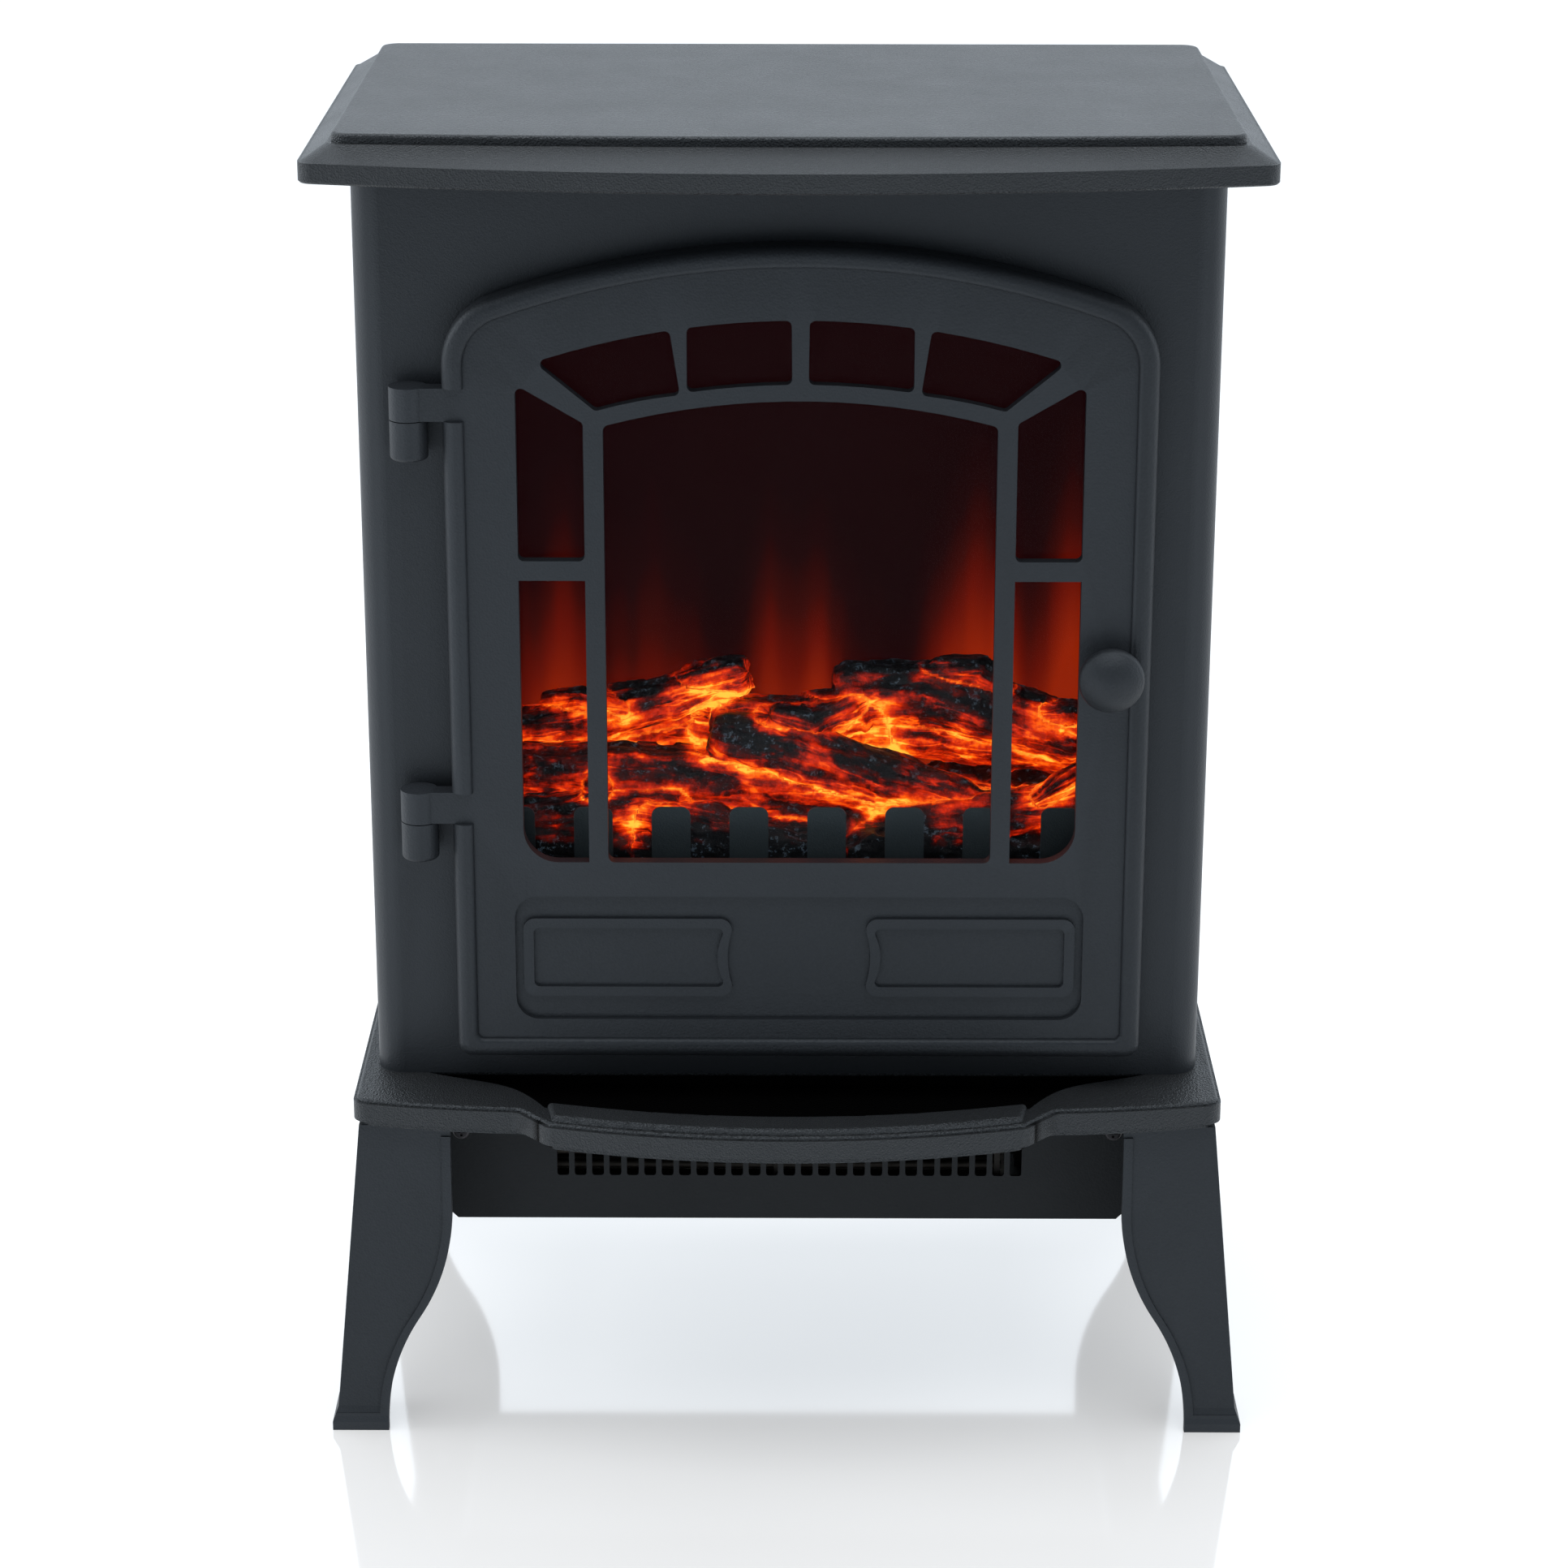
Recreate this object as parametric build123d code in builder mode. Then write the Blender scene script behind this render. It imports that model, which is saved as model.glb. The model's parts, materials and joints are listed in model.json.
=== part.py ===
"""Freestanding electric stove heater, built from separate pieces, in millimetres.

Frame: X to the right seen from the front, Y towards the wall, Z up. The origin is on the
floor, under the middle of the whole heater.
"""
import os
from math import asin, atan2, cos, radians, sin, sqrt

from build123d import *

os.makedirs("parts", exist_ok=True)

# ---------------------------------------------------------------- driving dimensions
BODY_WIDTH = 362
BODY_FRONT = -75
BODY_REAR = 128
BODY_BOTTOM = 157
BODY_TOP = 558
BODY_CORNER = 12
BODY_DEPTH = BODY_REAR - BODY_FRONT
BODY_MIDDLE_Y = (BODY_FRONT + BODY_REAR) / 2
BODY_HEIGHT = BODY_TOP - BODY_BOTTOM
SHEET = 1.5
RETURN_DEPTH = 22
REAR_FLANGE = 26

COVER_HALF = 198.3
COVER_CORNER_Y = -104
COVER_BOW = 22
REAR_EDGE = 140
COVER_BAND_TOP = 566.5
COVER_SHELF = 572
COVER_TOP = 576
PANEL_HALF = 186
PANEL_CORNER_Y = -91
PANEL_BOW = 6
PANEL_REAR = 138.5
PANEL_MARGIN = 1.5
SKIN = 3

BASE_HALF = 189
BASE_BOTTOM = 144
BASE_BAND_BOTTOM = 147
BASE_BAND_TOP = 155.5
BASE_CORNER_Y = -105.5
LIP_FRONT = -145
LIP_TOP = 159.5
POCKET_FLOOR = 151
POCKET_HALF = 160
POCKET_SIDE = [(105, LIP_FRONT + 32), (112, -101.5), (120, -92.5), (136, -84), (POCKET_HALF, BODY_FRONT + 1)]
BASE_FLOOR = 148
BASE_REAR = 136

DOOR_X = 5
DOOR_HALF = 148.5
DOOR_BOTTOM = 171
ARC_Z = 149
DOOR_RADIUS = 381
DOOR_BACK = -79.5
DOOR_FIELD = -89.5
BEAD_FRONT = -92
BEAD_WIDTH = 9
DOOR_HEEL = 6
FIELD_HEEL = 2.5
SHOULDER = 30
PANE_SILL = 261.5
MIDDLE_PANE_HALF = 82
MIDDLE_PANE_RADIUS = 316
SIDE_PANE_INNER = 90.2
SIDE_PANE_OUTER = 118.2
SIDE_PANE_SPLIT = (387.5, 396)
FAN_PANE_TOP = 350
FAN_PANE_BOTTOM = 323
PANE_CORNER = 2.5
FIREBOX_MOUTH = (125, 254, 356, 18)
REBATE = (125, 253, 358, 20)
GLASS_PLAY = 0.5
GLASS_FRONT = -83.5
GLASS_THICKNESS = 3
KNOB_X = 136
KNOB_Z = 347.5
KNOB_RADIUS = 14
CARTOUCHE_Z = 217.3
CARTOUCHE_HALF = 18
CARTOUCHE_INNER = 26.9
CARTOUCHE_OUTER = 119.2
CARTOUCHE_WAIST = 4
CARTOUCHE_CORNER = 5
CARTOUCHE_BEAD = 4.4
CARTOUCHE_RISE = 1.8
CARTOUCHE_FIELD = (245.4, 57)
RECESS_FLOOR = DOOR_FIELD + 2.5
MAGNET_X = 146
MAGNET_Z = 310

HINGE_X = -158
HINGE_Y = -83.6
KNUCKLE_RADIUS = 8
KNUCKLE_HEIGHT = 14
FIXED_KNUCKLE = 17
HINGE_GAP = 0.4
BRACKET_DROP = 7.6
HINGE_BOTTOMS = {"upper": 456, "lower": 279}
PIN_RADIUS = 3
RUNNING_GAP = 0.05

LEG_OUTER_TOP = 186.8
LEG_OUTER_FOOT = 200.4
LEG_INNER_TOP = 147
LEG_INNER_FOOT = 177
LEG_FRONT_TOP = -103
LEG_FRONT_FOOT = -111
LEG_REAR_TOP = 133
LEG_REAR_FOOT = 141
LEG_DEPTH_TOP = 38
LEG_DEPTH_FOOT = 27
LEG_CURVE_TOP = 104
LEG_CURVE_FOOT = 4
LEG_WALL = 4
LEG_FLANGE = 5
LEG_RIM = 1.2
LEG_FLARE = 1.6
LEG_FLARE_TOP = 11
LEG_TOE = 4
LEG_BORDER = 8
LEG_SCREW_RADIUS = 2.5
LEG_SCREW_DEPTH = 8
LEG_SCREW_SPOTS = [(x, y) for x in (-158, 158) for y in (-76, 105)]
LEG_SCREW_SPOTS += [(x, y) for x in (-176, 176) for y in (-88, 118)]
SCREW_RADIUS = 2
REAR_SCREWS = [(x, z) for x in (-160, 160) for z in (176, 357, 538)]
HEATER_SCREW_SPOTS = [(x, y) for x in (-138, 138) for y in (-50, 44)]

HEATER_HALF = 151
HEATER_FRONT = -63
HEATER_REAR = 57
HEATER_BOTTOM = 81
HEATER_TOP = 140
SLOT_COUNT = 27
SLOT_PITCH = 7.8
SLOT_WIDTH = 5.3
SLOT_BOTTOM = 102
SLOT_TOP = 129
FAN_Y = -8
FAN_Z = 111
FAN_RADIUS = 22
FAN_LEFT = -104
FAN_RIGHT = 94
SHAFT_RADIUS = 3

LINER_HALF = 145
LINER_BOTTOM = 222
LINER_TOP = 520
SCREEN_Y = 20
SCREEN_THICKNESS = 2
LIGHT_BOX_REAR = 88
SPINDLE_Y = 54
SPINDLE_Z = 262
FRET_Y = -53
FRET_TOP = 274
TAB_WIDTH = 17
TAB_PITCH = 34.05
TAB_COUNT = 8

CONTROL_X = 5
CONTROL_Z = 196
CONTROL_WIDTH = 150
CONTROL_HEIGHT = 40
CONTROL_FACE = -57
ROCKER_SPOTS = {"flame": -44, "low_heat": -16, "high_heat": 12}
ROCKER_PIVOT_Y = -58.2
ROCKER_TILT = 8
DIAL_X = 56
DIAL_RADIUS = 13

GLAND_X = 120
GLAND_Z = 186
GLAND_BORE = 4


def save(builder, name):
    """Label a finished piece and write its STEP file."""
    builder.part.label = name
    export_step(builder.part, f"parts/{name}.step")


def front_plane(y):
    """Upright sketch plane at depth y whose extrusions run towards the front."""
    return Plane.XZ.offset(-y)


def side_plane(x):
    """Upright sketch plane at x, drawn in Y and Z, extruded to the right."""
    return Plane.YZ.offset(x)


# ---------------------------------------------------------------- top cover
def cover_outline(half, corner_y, bow, rear, corner):
    """Plan of the cover: straight sides and rear, front edge bowed forward."""
    with BuildLine() as outline:
        Polyline((-half, corner_y), (-half, rear), (half, rear), (half, corner_y))
        ThreePointArc((half, corner_y), (0, corner_y - bow), (-half, corner_y))
    face = make_face(outline.edges())
    fillet(face.vertices(), corner)


with BuildPart() as top_cover:
    with BuildSketch(Plane.XY.offset(BODY_TOP)):
        cover_outline(COVER_HALF, COVER_CORNER_Y, COVER_BOW, REAR_EDGE, 7)
    extrude(amount=COVER_BAND_TOP - BODY_TOP)
    chamfer(top_cover.faces().sort_by(Axis.Z)[0].edges(), 0.8)
    with BuildSketch(Plane.XY.offset(COVER_BAND_TOP)):
        cover_outline(COVER_HALF - 1, COVER_CORNER_Y + 1, COVER_BOW, REAR_EDGE - 0.5, 6)
    with BuildSketch(Plane.XY.offset(COVER_SHELF)):
        cover_outline(
            PANEL_HALF + PANEL_MARGIN,
            PANEL_CORNER_Y - PANEL_MARGIN,
            PANEL_BOW,
            PANEL_REAR + PANEL_MARGIN / 2,
            6,
        )
    loft(ruled=True)
    with BuildSketch(Plane.XY.offset(COVER_SHELF)):
        cover_outline(PANEL_HALF, PANEL_CORNER_Y, PANEL_BOW, PANEL_REAR, 8)
    extrude(amount=COVER_TOP - COVER_SHELF)
    fillet(top_cover.faces().sort_by(Axis.Z)[-1].edges(), 1.6)
    with BuildSketch(Plane.XY.offset(BODY_TOP)):
        cover_outline(COVER_HALF - SKIN - 4, COVER_CORNER_Y + SKIN + 4, COVER_BOW, REAR_EDGE - SKIN - 4, 5)
        with Locations((0, BODY_MIDDLE_Y)):
            RectangleRounded(BODY_WIDTH, BODY_DEPTH, BODY_CORNER, mode=Mode.SUBTRACT)
    extrude(amount=COVER_BAND_TOP - SKIN - BODY_TOP, mode=Mode.SUBTRACT)
    with BuildSketch(Plane.XY.offset(BODY_TOP)):
        with Locations((0, BODY_MIDDLE_Y)):
            RectangleRounded(BODY_WIDTH - 8, BODY_DEPTH - 8, BODY_CORNER - 4)
    extrude(amount=COVER_SHELF - SKIN - BODY_TOP, mode=Mode.SUBTRACT)
save(top_cover, "top_cover")


# ---------------------------------------------------------------- base with its ash lip
def base_outline(inset):
    """Plan of the base: bowed side parts, an S-step forward to a bowed ash lip."""
    half = BASE_HALF - inset
    lip = LIP_FRONT + inset
    corner_y = BASE_CORNER_Y + inset
    rear = BASE_REAR - inset
    with BuildLine() as outline:
        Polyline((-half, corner_y), (-half, rear), (half, rear), (half, corner_y))
        for side in (-1, 1):
            ThreePointArc(
                (side * half, corner_y),
                (side * 152, corner_y - 6.5),
                (side * (117 - inset), corner_y - 9.5),
            )
            Line((side * (117 - inset), corner_y - 9.5), (side * (103 - inset), lip + 14))
        ThreePointArc((inset - 103, lip + 14), (0, lip), (103 - inset, lip + 14))
    face = make_face(outline.edges())
    fillet(face.vertices(), 7)


with BuildPart() as base_plate:
    with BuildSketch(Plane.XY.offset(BASE_BOTTOM)):
        base_outline(3)
    extrude(amount=BASE_BAND_BOTTOM - BASE_BOTTOM)
    with BuildSketch(Plane.XY.offset(BASE_BAND_BOTTOM)):
        base_outline(0)
    extrude(amount=BASE_BAND_TOP - BASE_BAND_BOTTOM)
    with BuildSketch(Plane.XY.offset(BASE_BAND_TOP)):
        base_outline(1.2)
    extrude(amount=BODY_BOTTOM - BASE_BAND_TOP)
    fillet(base_plate.faces().sort_by(Axis.Z)[-1].edges(), 1.4)
    with BuildSketch(Plane.XY.offset(BODY_BOTTOM)):
        with BuildLine():
            ThreePointArc((-101, LIP_FRONT + 17), (0, LIP_FRONT + 3), (101, LIP_FRONT + 17))
            Line((101, LIP_FRONT + 17), (104, LIP_FRONT + 34))
            ThreePointArc((104, LIP_FRONT + 34), (0, LIP_FRONT + 19), (-104, LIP_FRONT + 34))
            Line((-104, LIP_FRONT + 34), (-101, LIP_FRONT + 17))
        make_face()
    extrude(amount=LIP_TOP - BODY_BOTTOM)
    ridge_top = base_plate.faces().sort_by(Axis.Z)[-1]
    fillet(ridge_top.edges(), 2.2)
    with BuildSketch(Plane.XY.offset(POCKET_FLOOR)):
        with BuildLine():
            ThreePointArc((-105, LIP_FRONT + 32), (0, LIP_FRONT + 19), (105, LIP_FRONT + 32))
            for side in (-1, 1):
                Spline([(side * x, y) for x, y in POCKET_SIDE])
            Line((-POCKET_HALF, BODY_FRONT + 1), (POCKET_HALF, BODY_FRONT + 1))
        make_face()
    extrude(amount=LIP_TOP - POCKET_FLOOR, mode=Mode.SUBTRACT)
    with BuildSketch(Plane.XY.offset(BASE_FLOOR)):
        with Locations((0, 27)):
            RectangleRounded(336, 190, 8)
    extrude(amount=BODY_BOTTOM - BASE_FLOOR, mode=Mode.SUBTRACT)
    with BuildSketch(Plane.XY.offset(BASE_BOTTOM)):
        with Locations(*LEG_SCREW_SPOTS):
            Circle(LEG_SCREW_RADIUS)
        with Locations(*HEATER_SCREW_SPOTS):
            Circle(SCREW_RADIUS)
    extrude(amount=LEG_SCREW_DEPTH, mode=Mode.SUBTRACT)
save(base_plate, "base_plate")


# ---------------------------------------------------------------- sheet-metal body
def body_ring():
    """Plan of the body's sheet wall, all the way round."""
    with Locations((0, BODY_MIDDLE_Y)):
        RectangleRounded(BODY_WIDTH, BODY_DEPTH, BODY_CORNER)
        RectangleRounded(
            BODY_WIDTH - 2 * SHEET,
            BODY_DEPTH - 2 * SHEET,
            BODY_CORNER - SHEET,
            mode=Mode.SUBTRACT,
        )


def arch(half, bottom, radius, corner, heel=2):
    """Arched face about the door's centre line, struck from the door's arch centre."""
    shoulder = ARC_Z + sqrt(radius**2 - half**2)
    with BuildLine() as outline:
        Polyline(
            (DOOR_X - half, shoulder),
            (DOOR_X - half, bottom),
            (DOOR_X + half, bottom),
            (DOOR_X + half, shoulder),
        )
        ThreePointArc((DOOR_X + half, shoulder), (DOOR_X, ARC_Z + radius), (DOOR_X - half, shoulder))
    face = make_face(outline.edges())
    heeled = fillet(face.vertices().group_by(Axis.Y)[0], heel)
    fillet(heeled.vertices().group_by(Axis.Y)[-1], corner)


with BuildPart() as front_panel:
    with BuildSketch(Plane.XY.offset(BODY_BOTTOM)):
        body_ring()
        with Locations((0, BODY_FRONT + RETURN_DEPTH / 2)):
            Rectangle(BODY_WIDTH, RETURN_DEPTH, mode=Mode.INTERSECT)
    extrude(amount=BODY_HEIGHT)
    with BuildSketch(front_plane(BODY_FRONT + SHEET)):
        arch(*FIREBOX_MOUTH)
        with Locations((CONTROL_X, CONTROL_Z)):
            RectangleRounded(CONTROL_WIDTH, CONTROL_HEIGHT, 5)
        for bottom in HINGE_BOTTOMS.values():
            with Locations((HINGE_X, bottom - BRACKET_DROP)):
                Rectangle(8.4, 11.4)
    extrude(amount=SHEET, mode=Mode.SUBTRACT)
save(front_panel, "front_panel")


def side_panel(side):
    """One flat side of the body, with a tongue behind the front panel and a rear flange."""
    with BuildPart() as panel:
        with BuildSketch(Plane.XY.offset(BODY_BOTTOM)):
            body_ring()
            with Locations((side * BODY_WIDTH / 2, (BODY_FRONT + RETURN_DEPTH + BODY_REAR) / 2)):
                Rectangle(2 * REAR_FLANGE, BODY_REAR - BODY_FRONT - RETURN_DEPTH, mode=Mode.INTERSECT)
            with Locations((side * (BODY_WIDTH / 2 - 1.5 * SHEET), BODY_FRONT + RETURN_DEPTH)):
                Rectangle(SHEET, 16)
        extrude(amount=BODY_HEIGHT)
        with BuildSketch(front_plane(BODY_REAR)):
            with Locations(*REAR_SCREWS):
                Circle(SCREW_RADIUS)
        extrude(amount=SHEET, mode=Mode.SUBTRACT)
    return panel


for label, side in (("left", -1), ("right", 1)):
    save(side_panel(side), f"side_panel_{label}")

REAR_FACE = BODY_REAR - SHEET
REAR_PANEL_WIDTH = 332
VENT_SLOT = (22, 5)
VENT_PITCH = (14, 30)
with BuildPart() as rear_panel:
    with BuildSketch(front_plane(REAR_FACE)):
        with Locations((0, (BODY_BOTTOM + BODY_TOP) / 2)):
            Rectangle(REAR_PANEL_WIDTH, BODY_HEIGHT)
        with Locations((0, 500)):
            with GridLocations(*VENT_PITCH, 17, 2):
                SlotOverall(*VENT_SLOT, rotation=90, mode=Mode.SUBTRACT)
        with Locations((-40, 205)):
            with GridLocations(*VENT_PITCH, 9, 2):
                SlotOverall(*VENT_SLOT, rotation=90, mode=Mode.SUBTRACT)
        with Locations((GLAND_X, GLAND_Z)):
            Circle(8, mode=Mode.SUBTRACT)
        with Locations(*REAR_SCREWS):
            Circle(SCREW_RADIUS, mode=Mode.SUBTRACT)
    extrude(amount=SHEET)
save(rear_panel, "rear_panel")


def pan_screws(spots, plane, shank, head_radius=4, head_height=2.2):
    """Pan-head screws as separate solids: heads above the plane, shanks below it."""
    with BuildPart() as screws:
        for spot in spots:
            with BuildSketch(plane):
                with Locations(spot):
                    Circle(head_radius)
            extrude(amount=head_height)
        fillet(screws.faces().filter_by(GeomType.PLANE).edges().filter_by(
            lambda e: abs(plane.to_local_coords(e.center()).Z - head_height) < 0.01), 1.4)
        for spot in spots:
            with BuildSketch(plane):
                with Locations(spot):
                    RectangleRounded(head_radius * 1.1, 1, 0.3)
                    RectangleRounded(1, head_radius * 1.1, 0.3)
            extrude(amount=head_height, mode=Mode.SUBTRACT)
            with BuildSketch(plane):
                with Locations(spot):
                    Circle(SCREW_RADIUS)
            extrude(amount=-shank)
            with BuildSketch(plane):
                with Locations(spot):
                    Circle(SCREW_RADIUS)
            extrude(amount=head_height / 2)
    return screws


rear_plane = Plane(origin=(0, BODY_REAR, 0), x_dir=(-1, 0, 0), z_dir=(0, 1, 0))
save(pan_screws([(x, z) for x, z in REAR_SCREWS], rear_plane, 5), "rear_screws")


# ---------------------------------------------------------------- legs
def s_arcs(start, end):
    """Two equal arcs from start to end, upright at both ends."""
    shift = end[0] - start[0]
    drop = start[1] - end[1]
    turn = 2 * atan2(abs(shift), drop)
    radius = drop / 2 / sin(turn)
    side = 1 if shift > 0 else -1
    middle = ((start[0] + end[0]) / 2, (start[1] + end[1]) / 2)
    swing = radius * (1 - cos(turn / 2))
    fall = radius * sin(turn / 2)
    upper = ThreePointArc(start, (start[0] + side * swing, start[1] - fall), middle, mode=Mode.PRIVATE)
    lower = ThreePointArc(middle, (end[0] - side * swing, end[1] + fall), end, mode=Mode.PRIVATE)
    return [upper, lower]


def leg_profile(outer_top, outer_foot, inner_top, inner_foot):
    """Leg seen square on: a splayed outer edge flared at the foot and an S-curved inner edge."""
    outward = 1 if outer_foot > inner_foot else -1
    flare_start = outer_foot + (outer_top - outer_foot) * LEG_FLARE_TOP / BASE_BOTTOM
    toe = outer_foot + outward * LEG_FLARE
    with BuildLine() as outline:
        Polyline((inner_top, LEG_CURVE_TOP), (inner_top, BASE_BOTTOM), (outer_top, BASE_BOTTOM))
        Polyline((outer_top, BASE_BOTTOM), (flare_start, LEG_FLARE_TOP), (toe, LEG_TOE), (toe, 0))
        Polyline((toe, 0), (inner_foot, 0), (inner_foot, LEG_CURVE_FOOT))
        turn = s_arcs((inner_top, LEG_CURVE_TOP), (inner_foot, LEG_CURVE_FOOT))
    make_face(outline.edges() + turn)


def leg(side, end):
    """One L-section cast leg: side is -1 left or 1 right, end is -1 front or 1 rear."""
    face_top = LEG_FRONT_TOP if end < 0 else LEG_REAR_TOP
    face_foot = LEG_FRONT_FOOT if end < 0 else LEG_REAR_FOOT
    rear_top = face_top - end * LEG_DEPTH_TOP
    rear_foot = face_foot - end * LEG_DEPTH_FOOT
    far = 400

    def across(shift, mode):
        with BuildSketch(front_plane(far / 2)) as profile:
            leg_profile(
                side * (LEG_OUTER_TOP - shift),
                side * (LEG_OUTER_FOOT - shift),
                side * (LEG_INNER_TOP - shift),
                side * (LEG_INNER_FOOT - shift),
            )
        extrude(profile.sketch, amount=far, mode=mode)

    def along(shift, mode):
        with BuildSketch(side_plane(-far)) as profile:
            leg_profile(
                face_top - end * shift,
                face_foot - end * shift,
                rear_top - end * shift,
                rear_foot - end * shift,
            )
        extrude(profile.sketch, amount=2 * far, mode=mode)

    with BuildPart() as hollow:
        across(LEG_WALL, Mode.ADD)
        along(LEG_WALL, Mode.INTERSECT)
        with BuildSketch(Plane.XY.offset(BASE_BOTTOM)):
            Rectangle(2 * far, 2 * far)
        extrude(amount=-LEG_FLANGE, mode=Mode.SUBTRACT)
    with BuildPart() as trim:
        across(0, Mode.ADD)
        with BuildSketch(front_plane(far / 2)):
            leg_profile(
                side * (LEG_OUTER_TOP + 40),
                side * (LEG_OUTER_FOOT + 40),
                side * (LEG_INNER_TOP + LEG_WALL),
                side * (LEG_INNER_FOOT + LEG_WALL),
            )
            Rectangle(2 * far, 2 * LEG_BORDER, mode=Mode.SUBTRACT)
        extrude(amount=far, mode=Mode.SUBTRACT)
        with BuildSketch(side_plane(-far)):
            Polygon(
                (face_top, BASE_BOTTOM - LEG_FLANGE),
                (face_foot, 0),
                (face_foot + end * LEG_RIM, 0),
                (face_top + end * LEG_RIM, BASE_BOTTOM - LEG_FLANGE),
                align=None,
            )
        extrude(amount=2 * far, mode=Mode.INTERSECT)
    with BuildPart() as whole:
        across(0, Mode.ADD)
        along(0, Mode.INTERSECT)
        add(hollow.part, mode=Mode.SUBTRACT)
        add(trim.part)
        with BuildSketch(Plane.XY.offset(BASE_BOTTOM)):
            with Locations(*LEG_SCREW_SPOTS):
                Circle(LEG_SCREW_RADIUS)
        extrude(amount=-LEG_FLANGE, mode=Mode.SUBTRACT)
    return whole


for end_label, end in (("front", -1), ("rear", 1)):
    for side_label, side in (("left", -1), ("right", 1)):
        save(leg(side, end), f"leg_{end_label}_{side_label}")

flange_underside = Plane(origin=(0, 0, BASE_BOTTOM - LEG_FLANGE), x_dir=(1, 0, 0), z_dir=(0, 0, -1))
leg_screw_spots = [(x, -y) for x, y in LEG_SCREW_SPOTS]
save(pan_screws(leg_screw_spots, flange_underside, 7, 4.5), "leg_screws")


# ---------------------------------------------------------------- door
def side_panes(side):
    """The tall upper and lower panes beside the middle one, with their rounded corners."""
    inner = DOOR_X + side * SIDE_PANE_INNER
    outer = DOOR_X + side * SIDE_PANE_OUTER
    below, above = SIDE_PANE_SPLIT
    with BuildLine() as upper:
        Polyline((inner, above), (inner, 455.5), (outer, 472), (outer, above), close=True)
    face = make_face(upper.edges())
    fillet(face.vertices(), PANE_CORNER)
    with BuildLine() as lower:
        Polyline((inner, PANE_SILL), (inner, below), (outer, below), (outer, PANE_SILL), close=True)
    lower_face = make_face(lower.edges())
    corner = [v for v in lower_face.vertices() if v.Y < PANE_SILL + 1 and abs(v.X - outer) < 1]
    fillet(corner, 15)


def arched_pane(left, right, top_radius, bottom_radius, slant):
    """Pane between two arcs about the door's arch centre, with sides at x from the door's middle."""
    sign = 1 if right > 0 else -1
    far = right if sign > 0 else left
    near = left if sign > 0 else right
    tip = far + sign * slant
    tip_z = ARC_Z + sqrt(top_radius**2 - tip**2)
    far_z = ARC_Z + sqrt(bottom_radius**2 - far**2)
    near_low = (near * bottom_radius / top_radius, ARC_Z + sqrt(bottom_radius**2 - near**2))
    near_top = (near, ARC_Z + sqrt(top_radius**2 - near**2))
    mid_x = (near + far) / 2
    with BuildLine() as outline:
        Line(near_low, near_top)
        ThreePointArc(near_top, (mid_x, ARC_Z + sqrt(top_radius**2 - mid_x**2)), (tip, tip_z))
        Line((tip, tip_z), (far, far_z))
        ThreePointArc((far, far_z), (mid_x, ARC_Z + sqrt(bottom_radius**2 - mid_x**2)), near_low)
    face = make_face([edge.moved(Location((DOOR_X, 0, 0))) for edge in outline.edges()])
    fillet(face.vertices(), PANE_CORNER)


def middle_pane():
    """The big middle pane: upright sides, a flat sill and an arched head."""
    shoulder = ARC_Z + sqrt(MIDDLE_PANE_RADIUS**2 - MIDDLE_PANE_HALF**2)
    left = DOOR_X - MIDDLE_PANE_HALF
    right = DOOR_X + MIDDLE_PANE_HALF
    with BuildLine() as outline:
        Polyline((left, shoulder), (left, PANE_SILL), (right, PANE_SILL), (right, shoulder))
        ThreePointArc((right, shoulder), (DOOR_X, ARC_Z + MIDDLE_PANE_RADIUS), (left, shoulder))
    face = make_face(outline.edges())
    fillet(face.vertices(), 3)


def cartouche(side, inset):
    """Raised panel outline: rounded outer corners and a waisted inner end with rounded horns."""
    half_height = CARTOUCHE_HALF - inset
    inner = CARTOUCHE_INNER + inset
    outer = CARTOUCHE_OUTER - inset
    waist = inner + CARTOUCHE_WAIST
    top = CARTOUCHE_Z + half_height
    bottom = CARTOUCHE_Z - half_height
    with BuildLine() as outline:
        Polyline((inner, top), (outer, top), (outer, bottom), (inner, bottom))
        ThreePointArc((inner, bottom), (waist, CARTOUCHE_Z), (inner, top))
    edges = outline.edges() if side > 0 else [edge.mirror(Plane.YZ) for edge in outline.edges()]
    face = make_face([edge.moved(Location((DOOR_X, 0, 0))) for edge in edges])
    fillet(face.vertices(), CARTOUCHE_CORNER - 0.6 * inset)


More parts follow.
